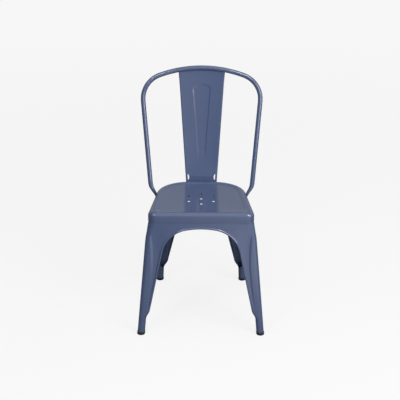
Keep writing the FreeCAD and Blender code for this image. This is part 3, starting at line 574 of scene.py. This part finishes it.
for end, facing in (("front", -1), ("rear", 1)):
    halves = leg_half(end, "cross") + leg_half(end, "flank")
    for hand, side in (("right", 1), ("left", -1)):
        inside_out = side * facing < 0
        sheets = []
        for points, faces in halves:
            placed = points * np.array([side, facing, 1])
            sheets.append((placed, faces[:, ::-1] if inside_out else faces))
        name = "pressed_leg_" + end + "_" + hand
        leg_mesh = thicken(join_grids(name, sheets), SHEET)
        add_piece(name, leg_mesh, paint, "paint", "leg_" + end + "_" + hand)

# THE BACK HOOP. One length of round steel tube, bent over the top to a low crown and
# leaning back. Its two ends are pressed flat, laid on the sides of the rear legs and held
# there by two plug welds each, which stand a little proud.
TUBE_RADIUS = 0.0085
HOOP_TOP = 0.850
HOOP_LEAN = math.radians(16.8)
HOOP_BASE = SEAT_FRONT + SEAT_DEPTH - 0.054
HOOP_CROWN = 0.449
HOOP_CORNER = 0.090
HOOP_HALF = 0.201
HOOP_LEVEL = 0.600
HOOP_TAPER = 0.089
ROUND_END = 0.440
BEND_END = 0.380
STRAP_LANDING = 0.355
STRAP_END = 0.322
STRAP_RUN = 0.034
STRAP_DIP = 0.020
STRAP_WIDTH = 0.024
STRAP_THICKNESS = 0.004
STRAP_SINK = 0.0003
STRAP_CORNER = 0.005
STRAP_WELDS = (0.25, 0.7)
WELD_RADIUS = 0.0042
WELD_HEIGHT = 0.0007
WELD_ROWS = 6
WELD_SIDES = 28
HOOP_ROWS = 320
HOOP_SIDES = 44
HOOP_POINTS = (60, 80, 80)
STRAP_POINTS = 60
TIP_ROWS = 8
HOOP_SMOOTHING = 14


def outward(mesh):
    """The same closed mesh with all its faces turned to look outwards."""
    work = bmesh.new()
    work.from_mesh(mesh)
    bmesh.ops.recalc_face_normals(work, faces=work.faces)
    work.to_mesh(mesh)
    work.free()
    return mesh


def hoop_line():
    """Centre line, outward directions and lengths of the hoop's right half, from its crown.

    The round tube follows a crown arc, a corner arc and a straight line in the leaning
    plane. Below it a smooth step carries the line inwards to the leg's side, while it
    first dips to the front and then runs back with the leg. The whole is evenly spaced
    and smoothed, which rounds the bends a little.
    """
    scale = math.cos(HOOP_LEAN)
    rise = (HOOP_TOP - TUBE_RADIUS - RIM_LEVEL) / scale
    level = (HOOP_LEVEL - RIM_LEVEL) / scale
    bow = corner_bow(rise, HOOP_CROWN, HOOP_CORNER, HOOP_HALF, level, HOOP_TAPER)
    u, v = bow_points(bow, HOOP_POINTS, (ROUND_END - RIM_LEVEL) / scale)
    tube = np.stack([u, HOOP_BASE + v * math.sin(HOOP_LEAN), RIM_LEVEL + v * scale], axis=1)
    z = np.linspace(ROUND_END, STRAP_END, STRAP_POINTS)[1:]
    fall = (ROUND_END - z) / (ROUND_END - STRAP_END)
    y = tube[-1, 1] - STRAP_DIP * fall + STRAP_RUN * fall ** 2
    leg = leg_bow("rear", np.minimum(z, STRAP_LANDING))
    slant = math.hypot(1, leg.slope)
    x = leg.half + leg.slope * (y - leg.level) + (STRAP_THICKNESS / 2 - STRAP_SINK) * slant
    share = smooth_step((ROUND_END - z) / (ROUND_END - BEND_END))
    x = tube[-1, 0] + (x - tube[-1, 0]) * share
    line = np.concatenate([tube, np.stack([x, y, z], axis=1)])
    length = np.concatenate([[0], np.cumsum(np.linalg.norm(np.diff(line, axis=0), axis=1))])
    tip = STRAP_CORNER * (1 - np.sin(np.linspace(0, math.pi / 2, TIP_ROWS + 1)))
    even = np.concatenate([np.linspace(0, length[-1] - STRAP_CORNER, HOOP_ROWS), length[-1] - tip[1:]])
    line = np.stack([np.interp(even, length, line[:, k]) for k in range(3)], axis=1)
    for step in range(HOOP_SMOOTHING):
        line[1:-1] = (line[:-2] + 2 * line[1:-1] + line[2:]) / 4
    along = np.gradient(line, even, axis=0)
    along /= np.linalg.norm(along, axis=1)[:, None]
    flat = smooth_step((ROUND_END - line[:, 2]) / (ROUND_END - BEND_END))[:, None]
    plane = np.array([0.0, -math.cos(HOOP_LEAN), math.sin(HOOP_LEAN)])
    out = np.cross(plane, along) * (1 - flat) + np.array([1.0, -leg.slope, 0.0]) / slant * flat
    out -= along * np.sum(out * along, axis=1)[:, None]
    out /= np.linalg.norm(out, axis=1)[:, None]
    return line, along, out, flat, (even[-1] - even)[:, None]


def make_tube():
    """The hoop: superellipse rings swept along its line, round tube to flattened strap.

    A ring's powers grow from 2 (a circle) to 5 (a bar with rounded edges). Over the last
    millimetres its width and thickness shrink by quarter circles, which closes the end.
    """
    line, along, out, flat, rest = hoop_line()
    thick = TUBE_RADIUS + (STRAP_THICKNESS / 2 - TUBE_RADIUS) * flat
    wide = TUBE_RADIUS + (STRAP_WIDTH / 2 - TUBE_RADIUS) * flat
    tip = 1 - np.clip(rest / STRAP_CORNER, 0, 1)
    wide = wide - STRAP_CORNER * (1 - np.sqrt(1 - tip ** 2))
    thin = 1 - np.clip(rest / (STRAP_THICKNESS / 2), 0, 1)
    thick = thick * np.sqrt(1 - thin ** 2)
    power = 2 / (2 + 3 * flat)
    turn = 2 * math.pi * np.arange(HOOP_SIDES) / HOOP_SIDES
    a = thick * np.sign(np.cos(turn)) * np.abs(np.cos(turn)) ** power
    b = wide * np.sign(np.sin(turn)) * np.abs(np.sin(turn)) ** power
    across = np.cross(along, out)
    ring = line[:, None, :] + a[:, :, None] * out[:, None, :] + b[:, :, None] * across[:, None, :]
    both = np.concatenate([ring[:0:-1] * np.array([-1, 1, 1]), ring])
    return outward(join_grids("bent_back_tube", [(both, grid_faces(len(both), HOOP_SIDES, ring=True))]))


def turned(radii, levels, sides, place, axis):
    """A grid of rings round an axis, with a radius and a distance along it for each ring."""
    turn = 2 * math.pi * np.arange(sides) / sides
    radii, levels = np.array(radii)[:, None], np.array(levels)[:, None]
    rings = np.stack([radii * np.cos(turn), radii * np.sin(turn), levels + 0 * turn], axis=2)
    basis = np.array(Vector(axis).to_track_quat("Z", "Y").to_matrix())
    return rings @ basis.T + np.array(place), grid_faces(len(radii), sides, ring=True)


def weld_button(place, axis):
    """A ground plug weld: a low dome whose height falls as a quarter ellipse."""
    arc = np.linspace(0, math.pi / 2, WELD_ROWS + 1)
    radii = np.concatenate([WELD_RADIUS * np.sin(arc), [WELD_RADIUS, 0]])
    levels = np.concatenate([WELD_HEIGHT * np.cos(arc), [-WELD_HEIGHT, -WELD_HEIGHT]])
    return turned(radii, levels, WELD_SIDES, place, axis)


add_piece("bent_back_tube", make_tube(), paint, "paint", "back_hoop")

line, along, out = hoop_line()[:3]
for hand, side in (("right", 1), ("left", -1)):
    mirror = np.array([side, 1, 1])
    buttons = []
    for share in STRAP_WELDS:
        row = np.argmin(np.abs(line[:, 2] - STRAP_LANDING - (STRAP_END - STRAP_LANDING) * share))
        place = (line[row] + out[row] * STRAP_THICKNESS / 2) * mirror
        buttons.append(weld_button(place, out[row] * mirror))
    name = "strap_welds_" + hand
    add_piece(name, outward(join_grids(name, buttons)), paint, "paint", "hoop_weld_" + hand)

# THE BACK SPLAT. A tapered sheet with its long edges folded back and a shallow panel
# pressed in its face. Its foot is bent upright behind the seat rim and plug welded to it
# at three places; its top goes into the underside of the hoop and is welded there.
SPLAT_TOP_HALF = 0.085
SPLAT_FOOT_HALF = 0.05825
SPLAT_BEND = 0.452
SPLAT_BEND_RADIUS = 0.045
SPLAT_FOOT = 0.396
SPLAT_FOLD = 0.007
SPLAT_FOLD_RADIUS = 0.003
NOTCH_BOTTOM = 0.437
NOTCH_TOP = 0.461
NOTCH_MARGIN = 0.0076
NOTCH_WIDTH = 0.0046
NOTCH_LEAST = 0.0006
SPLAT_TUCK = 0.004
SPLAT_HOLLOW = 0.0025
SPLAT_HOLLOW_FADE = 0.07
PANEL_TOP = 0.784
PANEL_BOTTOM = 0.520
PANEL_TOP_HALF = 0.0345
PANEL_BOTTOM_HALF = 0.014
PANEL_CROWN = 0.0115
PANEL_CORNER = 0.009
PANEL_DEPTH = 0.0016
PANEL_WALL = 0.004
PANEL_FADE = 0.030
PANEL_LOWEST = -0.1
FOOT_WELD_LEVEL = 0.4115
SPLAT_ROWS = 250
STRETCH_COLUMNS = 8
FOLD_COLUMNS = 12


def splat_line():
    """The splat's side view: levels, depths and front directions from its foot to its top.

    An upright line, an arc that touches it and leans back, and a straight line to the
    middle of the hoop's crown.
    """
    start = SEAT_FRONT + SEAT_DEPTH + SHEET / 2
    hoop_y = HOOP_BASE + (HOOP_TOP - TUBE_RADIUS - RIM_LEVEL) * math.tan(HOOP_LEAN)
    hoop_z = HOOP_TOP - TUBE_RADIUS
    angle = math.atan2(hoop_y - start, hoop_z - SPLAT_BEND)
    reach = SPLAT_BEND_RADIUS * math.tan(angle / 2)
    upright = SPLAT_BEND - reach - SPLAT_FOOT
    curved = SPLAT_BEND_RADIUS * angle
    panel = math.hypot(hoop_y - start, hoop_z - SPLAT_BEND) - reach
    s = np.linspace(0, upright + curved + panel, SPLAT_ROWS)
    turn = np.clip((s - upright) / SPLAT_BEND_RADIUS, 0, angle)
    beyond = np.maximum(s - upright - curved, 0)
    y = start + SPLAT_BEND_RADIUS * (1 - np.cos(turn)) + beyond * math.sin(angle)
    z = SPLAT_FOOT + np.minimum(s, upright) + SPLAT_BEND_RADIUS * np.sin(turn) + beyond * math.cos(angle)
    return y[:, None], z[:, None], turn[:, None]


def make_splat():
    """The splat's face as a grid, with a sheet's thickness behind it.

    Columns run out from the middle to the panel's wall, across the wall, on to the fold,
    round it by a quarter circle and back along the flange. Beside the fold two columns
    part in a parabola just above the seat, where a slit lets the sheet bend. The panel is
    as deep as a smooth step of the distance inside its outline, whose upper corners are
    circles, and it fades out at the bottom. Across its width the sheet is hollow by a
    parabola, which starts above the bend.
    """
    y, z, turn = splat_line()
    taper = (SPLAT_TOP_HALF - SPLAT_FOOT_HALF) / (HOOP_TOP - SPLAT_BEND)
    half = SPLAT_FOOT_HALF + taper * (z - SPLAT_BEND)
    rise = (z - PANEL_BOTTOM) / (PANEL_TOP - PANEL_BOTTOM)
    wall = PANEL_BOTTOM_HALF + (PANEL_TOP_HALF - PANEL_BOTTOM_HALF) * np.maximum(rise, PANEL_LOWEST)
    fold = SPLAT_FOLD_RADIUS
    inner, outer = wall - PANEL_WALL, wall + PANEL_WALL / 4
    edge = half - fold
    height = (z - NOTCH_BOTTOM) / (NOTCH_TOP - NOTCH_BOTTOM)
    slit = NOTCH_LEAST + NOTCH_WIDTH * np.maximum(4 * height * (1 - height), 0)
    beside = half - NOTCH_MARGIN
    t = np.linspace(0, 1, STRETCH_COLUMNS + 1)
    corner = np.linspace(0, math.pi / 2, FOLD_COLUMNS + 1)[1:]
    flange = t[1::3]
    x = [inner * t, inner + (outer - inner) * t[1:], outer + (beside - slit - outer) * t[1:]]
    x += [beside, edge, edge + fold * np.sin(corner), half + 0 * flange]
    flat = np.zeros(3 * STRETCH_COLUMNS + 3)
    n = [flat, fold * np.cos(corner) - fold, -fold - (SPLAT_FOLD - fold) * flange]
    x, n = np.concatenate(x, axis=1), SHEET / 2 + np.concatenate(n) + 0 * z
    side_gap = np.maximum(PANEL_CORNER - (wall - x), 0)
    top_gap = np.maximum(PANEL_CORNER - (PANEL_TOP - PANEL_CROWN * (x / PANEL_TOP_HALF) ** 2 - z), 0)
    inside = PANEL_CORNER - np.hypot(side_gap, top_gap)
    n = n - PANEL_DEPTH * smooth_step(inside / PANEL_WALL) * smooth_step((z - PANEL_BOTTOM) / PANEL_FADE)
    hollow = SPLAT_HOLLOW * np.maximum(1 - (x / edge) ** 2, 0)
    n = n - hollow * smooth_step((z - SPLAT_BEND) / SPLAT_HOLLOW_FADE)
    drop = x ** 2 / (2 * HOOP_CROWN) + SPLAT_TUCK
    lowered = drop * smooth_step((z - PANEL_TOP) / (z[-1] - PANEL_TOP))
    back = y - n * np.cos(turn) - lowered * np.sin(turn)
    points = np.stack([x, back, z + n * np.sin(turn) - lowered], axis=2)
    middle = points.shape[1] - 1
    points = np.concatenate([points[:, :0:-1] * np.array([-1, 1, 1]), points], axis=1)
    faces = grid_faces(*points.shape[:2])
    row, column = np.divmod(np.arange(len(faces)), points.shape[1] - 1)
    within = (z[row, 0] > NOTCH_BOTTOM) & (z[row + 1, 0] < NOTCH_TOP)
    gap = 3 * STRETCH_COLUMNS
    open_here = within & ((column == middle + gap) | (column == middle - 1 - gap))
    return thicken(join_grids("pressed_splat", [(points, faces[~open_here])]), SHEET)


add_piece("pressed_splat", make_splat(), paint, "paint", "back_splat")

buttons = []
for x in (-SPLAT_FOOT_HALF * 2 / 3, 0, SPLAT_FOOT_HALF * 2 / 3):
    place = (x, SEAT_FRONT + SEAT_DEPTH + SHEET, FOOT_WELD_LEVEL)
    buttons.append(weld_button(place, (0, 1, 0)))
foot_welds = outward(join_grids("splat_plug_welds", buttons))
add_piece("splat_plug_welds", foot_welds, paint, "paint", "splat_foot_weld")

# THE CROSS BRACE AND THE OTHER WELDS. Two flat steel strips cross under the seat, riveted
# in the middle and welded in the corners of the legs. They are painted with the chair.
for name in (
    "brace_strip_upper",
    "brace_strip_lower",
    "brace_rivet",
    "brace_end_weld",
    "splat_top_weld",
):
    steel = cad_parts[name].data
    steel.materials.clear()
    steel.materials.append(paint)

# THE RUBBER PARTS. Moulded black caps are pushed on the four feet, and four pads with a
# stem are pushed in the brace, where a stacked chair rests on them.
CAP_RADIUS = 0.014
CAP_HEIGHT = 0.011
CAP_ROUND = 0.002
CAP_LIP = 0.0008
CAP_RING = 0.001
CAP_GAP = 0.0001
CAP_ROWS = 5
CAP_SIDES = 48
RUBBER_COLOUR = (0.012, 0.012, 0.013)
RUBBER_SCUFF = (0.03, 0.03, 0.031)
RUBBER_ROUGHNESS = 0.6
RUBBER_SHINE = 0.25
SCUFF_SCALE = 160.0
SCUFF_HEIGHT = 0.0001


def make_rubber():
    """Black dull rubber: fine noise makes it greyer in spots and dents it by a trace."""
    material = bpy.data.materials.new("black_rubber")
    material.use_nodes = True
    nodes = material.node_tree.nodes
    links = material.node_tree.links
    shader = nodes["Principled BSDF"]
    shader.inputs["Roughness"].default_value = RUBBER_ROUGHNESS
    shader.inputs["Specular IOR Level"].default_value = RUBBER_SHINE
    place = nodes.new("ShaderNodeTexCoord")
    scuffs = nodes.new("ShaderNodeTexNoise")
    scuffs.inputs["Scale"].default_value = SCUFF_SCALE
    scuffs.inputs["Detail"].default_value = 4.0
    colours = nodes.new("ShaderNodeMix")
    colours.data_type = "RGBA"
    colours.inputs["A"].default_value = (*RUBBER_COLOUR, 1.0)
    colours.inputs["B"].default_value = (*RUBBER_SCUFF, 1.0)
    bump = nodes.new("ShaderNodeBump")
    bump.inputs["Strength"].default_value = 0.5
    bump.inputs["Distance"].default_value = SCUFF_HEIGHT
    links.new(place.outputs["Object"], scuffs.inputs["Vector"])
    links.new(scuffs.outputs["Fac"], colours.inputs["Factor"])
    links.new(colours.outputs["Result"], shader.inputs["Base Color"])
    links.new(scuffs.outputs["Fac"], bump.inputs["Height"])
    links.new(bump.outputs["Normal"], shader.inputs["Normal"])
    return material


def make_cap(end, side, facing):
    """A foot cap: rings round the slanting axis of the foot, sole, round edge, wall and lip.

    Both edges are quarter circles. Inside, the rings go down the tube and close under it.
    """
    turn = np.linspace(0, math.pi / 2, CAP_ROWS + 1)
    wall = np.array([CAP_ROUND, CAP_HEIGHT - CAP_LIP])
    radii = [[0, CAP_RADIUS - CAP_ROUND - CAP_RING], CAP_RADIUS - CAP_ROUND * (1 - np.sin(turn))]
    levels = [[0, 0], CAP_ROUND * (1 - np.cos(turn))]
    radii += [np.full_like(wall, CAP_RADIUS), CAP_RADIUS - CAP_LIP * (1 - np.cos(turn))]
    levels += [wall, CAP_HEIGHT - CAP_LIP * (1 - np.sin(turn))]
    radii += [[FOOT_RADIUS - CAP_GAP, FOOT_RADIUS - CAP_GAP, 0]]
    levels += [[CAP_HEIGHT - CAP_LIP / 2, FOOT_END, FOOT_END]]
    radii, levels = np.concatenate(radii)[:, None], np.concatenate(levels)[:, None]
    around = 2 * math.pi * np.arange(CAP_SIDES) / CAP_SIDES
    bow = leg_bow(end, levels)
    x = side * (bow.centre_u + radii * np.cos(around))
    y = facing * (bow.centre_v + radii * np.sin(around))
    rings = np.stack([x, y, levels + 0 * around], axis=2)
    return outward(join_grids("cap", [(rings, grid_faces(len(radii), CAP_SIDES, ring=True))]))


rubber = make_rubber()
for end, facing in (("front", -1), ("rear", 1)):
    for hand, side in (("right", 1), ("left", -1)):
        name = end + "_" + hand
        add_piece("rubber_foot_" + name, make_cap(end, side, facing), rubber, "rubber", "foot_cap_" + name)
        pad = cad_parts["stacking_pad_" + name].data
        pad.materials.clear()
        pad.materials.append(rubber)

# THE ROOM. A pale floor that keeps the chair's soft shadow, soft lamps, and the camera of
# the photograph, which stands in front of the chair and looks down at it.
BACKGROUND = 0.921
FLOOR_SIZE = 30.0
FLOOR_ALBEDO = 0.12
FLOOR_GLOW_NEAR = 0.828
FLOOR_GLOW_FAR = 0.888
FLOOR_GLOW_REACH = 6.0
FLOOR_SPILL = 0.18
FLOOR_SHINE_LEFT = 0.05
FLOOR_SHINE_RIGHT = 1.4
FLOOR_SHINE_REACH = 0.45
FLOOR_SHINE_START = -0.3
FLOOR_SHINE_FULL = -1.5
AMBIENT = 0.28
WALL_BEHIND = 0.50
WALL_LEFT = 0.02
WALL_RIGHT = 0.95
WALL_TURN = 0.2
WALL_NEAR = -0.1
WALL_FAR = 0.7
BOX_CORE = 0.4
BOX_LEFT = (-0.30, -0.57, 0.76)
BOX_RIGHT = (0.30, -0.57, 0.76)
BOX_REACH = (0.20, 0.24, 0.16)
BOX_LEFT_LEVEL = 18.0
BOX_RIGHT_LEVEL = 32.0

floor_mesh = bpy.data.meshes.new("floor")
half = FLOOR_SIZE / 2
floor_mesh.from_pydata(
    [(-half, -half, 0), (half, -half, 0), (half, half, 0), (-half, half, 0)], [], [(0, 1, 2, 3)]
)
floor = bpy.data.objects.new("floor", floor_mesh)
bpy.context.scene.collection.objects.link(floor)


def make_floor():
    """Pale paper: it takes the soft shadow, and glows for the camera and less for the chair.

    For the camera the glow grows with the distance from the chair, as the lamps' light
    on the paper falls off, so that the background comes out even.
    """
    material = bpy.data.materials.new("pale_floor")
    material.use_nodes = True
    nodes = material.node_tree.nodes
    links = material.node_tree.links
    nodes.clear()
    output = nodes.new("ShaderNodeOutputMaterial")
    paper = nodes.new("ShaderNodeBsdfDiffuse")
    paper.inputs["Color"].default_value = (FLOOR_ALBEDO, FLOOR_ALBEDO, FLOOR_ALBEDO, 1.0)
    glow = nodes.new("ShaderNodeEmission")
    rays = nodes.new("ShaderNodeLightPath")
    place = nodes.new("ShaderNodeTexCoord")
    far = nodes.new("ShaderNodeVectorMath")
    far.operation = "LENGTH"
    level = nodes.new("ShaderNodeMapRange")
    level.interpolation_type = "SMOOTHSTEP"
    level.inputs["From Max"].default_value = FLOOR_GLOW_REACH
    level.inputs["To Min"].default_value = FLOOR_GLOW_NEAR
    level.inputs["To Max"].default_value = FLOOR_GLOW_FAR
    parts = nodes.new("ShaderNodeSeparateXYZ")
    shine = nodes.new("ShaderNodeMapRange")
    shine.inputs["From Min"].default_value = -FLOOR_SHINE_REACH
    shine.inputs["From Max"].default_value = FLOOR_SHINE_REACH
    shine.inputs["To Min"].default_value = FLOOR_SHINE_LEFT
    shine.inputs["To Max"].default_value = FLOOR_SHINE_RIGHT
    before = nodes.new("ShaderNodeMapRange")
    before.inputs["From Min"].default_value = FLOOR_SHINE_START
    before.inputs["From Max"].default_value = FLOOR_SHINE_FULL
    before.inputs["To Min"].default_value = FLOOR_SHINE_LEFT
    mirrored = nodes.new("ShaderNodeMapRange")
    mirrored.inputs["To Min"].default_value = FLOOR_SPILL
    seen = nodes.new("ShaderNodeMapRange")
    both = nodes.new("ShaderNodeAddShader")
    below = nodes.new("ShaderNodeMixShader")
    clear = nodes.new("ShaderNodeBsdfTransparent")
    side = nodes.new("ShaderNodeNewGeometry")
    links.new(place.outputs["Object"], far.inputs[0])
    links.new(far.outputs["Value"], level.inputs["Value"])
    links.new(place.outputs["Object"], parts.inputs["Vector"])
    links.new(parts.outputs["X"], shine.inputs["Value"])
    links.new(rays.outputs["Is Glossy Ray"], mirrored.inputs["Value"])
    links.new(parts.outputs["Y"], before.inputs["Value"])
    links.new(shine.outputs["Result"], before.inputs["To Max"])
    links.new(before.outputs["Result"], mirrored.inputs["To Max"])
    links.new(rays.outputs["Is Camera Ray"], seen.inputs["Value"])
    links.new(mirrored.outputs["Result"], seen.inputs["To Min"])
    links.new(level.outputs["Result"], seen.inputs["To Max"])
    links.new(seen.outputs["Result"], glow.inputs["Strength"])
    links.new(paper.outputs["BSDF"], both.inputs[0])
    links.new(glow.outputs["Emission"], both.inputs[1])
    links.new(side.outputs["Backfacing"], below.inputs["Fac"])
    links.new(both.outputs["Shader"], below.inputs[1])
    links.new(clear.outputs["BSDF"], below.inputs[2])
    links.new(below.outputs["Shader"], output.inputs["Surface"])
    return material


floor_mesh.materials.append(make_floor())


def soft_box(nodes, links, way, aim, level):
    """A patch of light round one direction: full in its middle, fading out to its reach."""
    off = nodes.new("ShaderNodeVectorMath")
    off.operation = "SUBTRACT"
    off.inputs[1].default_value = aim
    share = nodes.new("ShaderNodeVectorMath")
    share.operation = "DIVIDE"
    share.inputs[1].default_value = BOX_REACH
    far = nodes.new("ShaderNodeVectorMath")
    far.operation = "LENGTH"
    fade = nodes.new("ShaderNodeMapRange")
    fade.interpolation_type = "SMOOTHSTEP"
    fade.inputs["From Min"].default_value = BOX_CORE
    fade.inputs["To Min"].default_value = level
    fade.inputs["To Max"].default_value = 0.0
    links.new(way.outputs["Generated"], off.inputs[0])
    links.new(off.outputs["Vector"], share.inputs[0])
    links.new(share.outputs["Vector"], far.inputs[0])
    links.new(far.outputs["Value"], fade.inputs["Value"])
    return fade.outputs["Result"]


def make_room():
    """The walls: pale for the camera, a plain level of light, and darker in reflections.

    In reflections the wall behind the chair is pale, the walls in front of it run from
    dark on the left to brighter on the right, and two soft boxes stand before the chair.
    """
    world = bpy.data.worlds.new("soft_room")
    world.use_nodes = True
    nodes = world.node_tree.nodes
    links = world.node_tree.links
    sky = nodes["Background"]
    sky.inputs["Color"].default_value = (1.0, 1.0, 1.0, 1.0)
    way = nodes.new("ShaderNodeTexCoord")
    parts = nodes.new("ShaderNodeSeparateXYZ")
    across = nodes.new("ShaderNodeMapRange")
    across.inputs["From Min"].default_value = -WALL_TURN
    across.inputs["From Max"].default_value = WALL_TURN
    across.inputs["To Min"].default_value = WALL_LEFT
    across.inputs["To Max"].default_value = WALL_RIGHT
    depth = nodes.new("ShaderNodeMapRange")
    depth.inputs["From Min"].default_value = WALL_NEAR
    depth.inputs["From Max"].default_value = WALL_FAR
    depth.inputs["To Max"].default_value = WALL_BEHIND
    links.new(way.outputs["Generated"], parts.inputs["Vector"])
    links.new(parts.outputs["X"], across.inputs["Value"])
    links.new(parts.outputs["Y"], depth.inputs["Value"])
    links.new(across.outputs["Result"], depth.inputs["To Min"])
    rays = nodes.new("ShaderNodeLightPath")
    mirrored = nodes.new("ShaderNodeMapRange")
    mirrored.inputs["To Min"].default_value = AMBIENT
    seen = nodes.new("ShaderNodeMapRange")
    seen.inputs["To Max"].default_value = BACKGROUND
    links.new(rays.outputs["Is Glossy Ray"], mirrored.inputs["Value"])
    boxes = nodes.new("ShaderNodeMath")
    links.new(soft_box(nodes, links, way, BOX_LEFT, BOX_LEFT_LEVEL), boxes.inputs[0])
    links.new(soft_box(nodes, links, way, BOX_RIGHT, BOX_RIGHT_LEVEL), boxes.inputs[1])
    walls = nodes.new("ShaderNodeMath")
    links.new(boxes.outputs["Value"], walls.inputs[0])
    links.new(depth.outputs["Result"], walls.inputs[1])
    links.new(walls.outputs["Value"], mirrored.inputs["To Max"])
    links.new(rays.outputs["Is Camera Ray"], seen.inputs["Value"])
    links.new(mirrored.outputs["Result"], seen.inputs["To Min"])
    links.new(seen.outputs["Result"], sky.inputs["Strength"])
    return world


bpy.context.scene.world = make_room()


def make_lamp(name, place, aim, size, power):
    """A square soft lamp at a place, turned to shine at a point."""
    light = bpy.data.lights.new(name, "AREA")
    light.shape = "SQUARE"
    light.size = size
    light.energy = power
    lamp = bpy.data.objects.new(name, light)
    lamp.location = place
    lamp.rotation_euler = (Vector(aim) - Vector(place)).to_track_quat("-Z", "Y").to_euler()
    bpy.context.scene.collection.objects.link(lamp)


MIDDLE = (0.0, 0.0, 0.45)
make_lamp("lamp_left", (-1.3, -2.1, 2.7), MIDDLE, 0.8, 20)
make_lamp("lamp_right", (2.2, -2.3, 2.1), MIDDLE, 2.0, 88)
make_lamp("lamp_above", (0.0, -0.3, 3.2), MIDDLE, 2.0, 17)
make_lamp("lamp_front", (0.2, -2.9, 2.5), MIDDLE, 2.0, 15)

CAMERA_PLACE = (0.0063, -3.3775, 1.7088)
CAMERA_PITCH = 21.94
CAMERA_TURN = 0.1077
CAMERA_ROLL = 0.2008
SENSOR = 36.0
FOCAL_PIXELS = 1012.8
PICTURE = 400
CENTRE_PIXEL = (201.17, 217.78)

camera_data = bpy.data.cameras.new("camera")
camera_data.sensor_width = SENSOR
camera_data.lens = SENSOR * FOCAL_PIXELS / PICTURE
camera_data.shift_x = (PICTURE / 2 - CENTRE_PIXEL[0]) / PICTURE
camera_data.shift_y = (CENTRE_PIXEL[1] - PICTURE / 2) / PICTURE
camera = bpy.data.objects.new("camera", camera_data)
camera.location = CAMERA_PLACE
turn = Matrix.Rotation(math.radians(CAMERA_TURN), 4, "Z")
pitch = Matrix.Rotation(math.radians(90 - CAMERA_PITCH), 4, "X")
roll = Matrix.Rotation(math.radians(CAMERA_ROLL), 4, "Z")
camera.rotation_euler = (turn @ pitch @ roll).to_euler()
bpy.context.scene.collection.objects.link(camera)
bpy.context.scene.camera = camera
bpy.context.scene.view_settings.view_transform = "Standard"
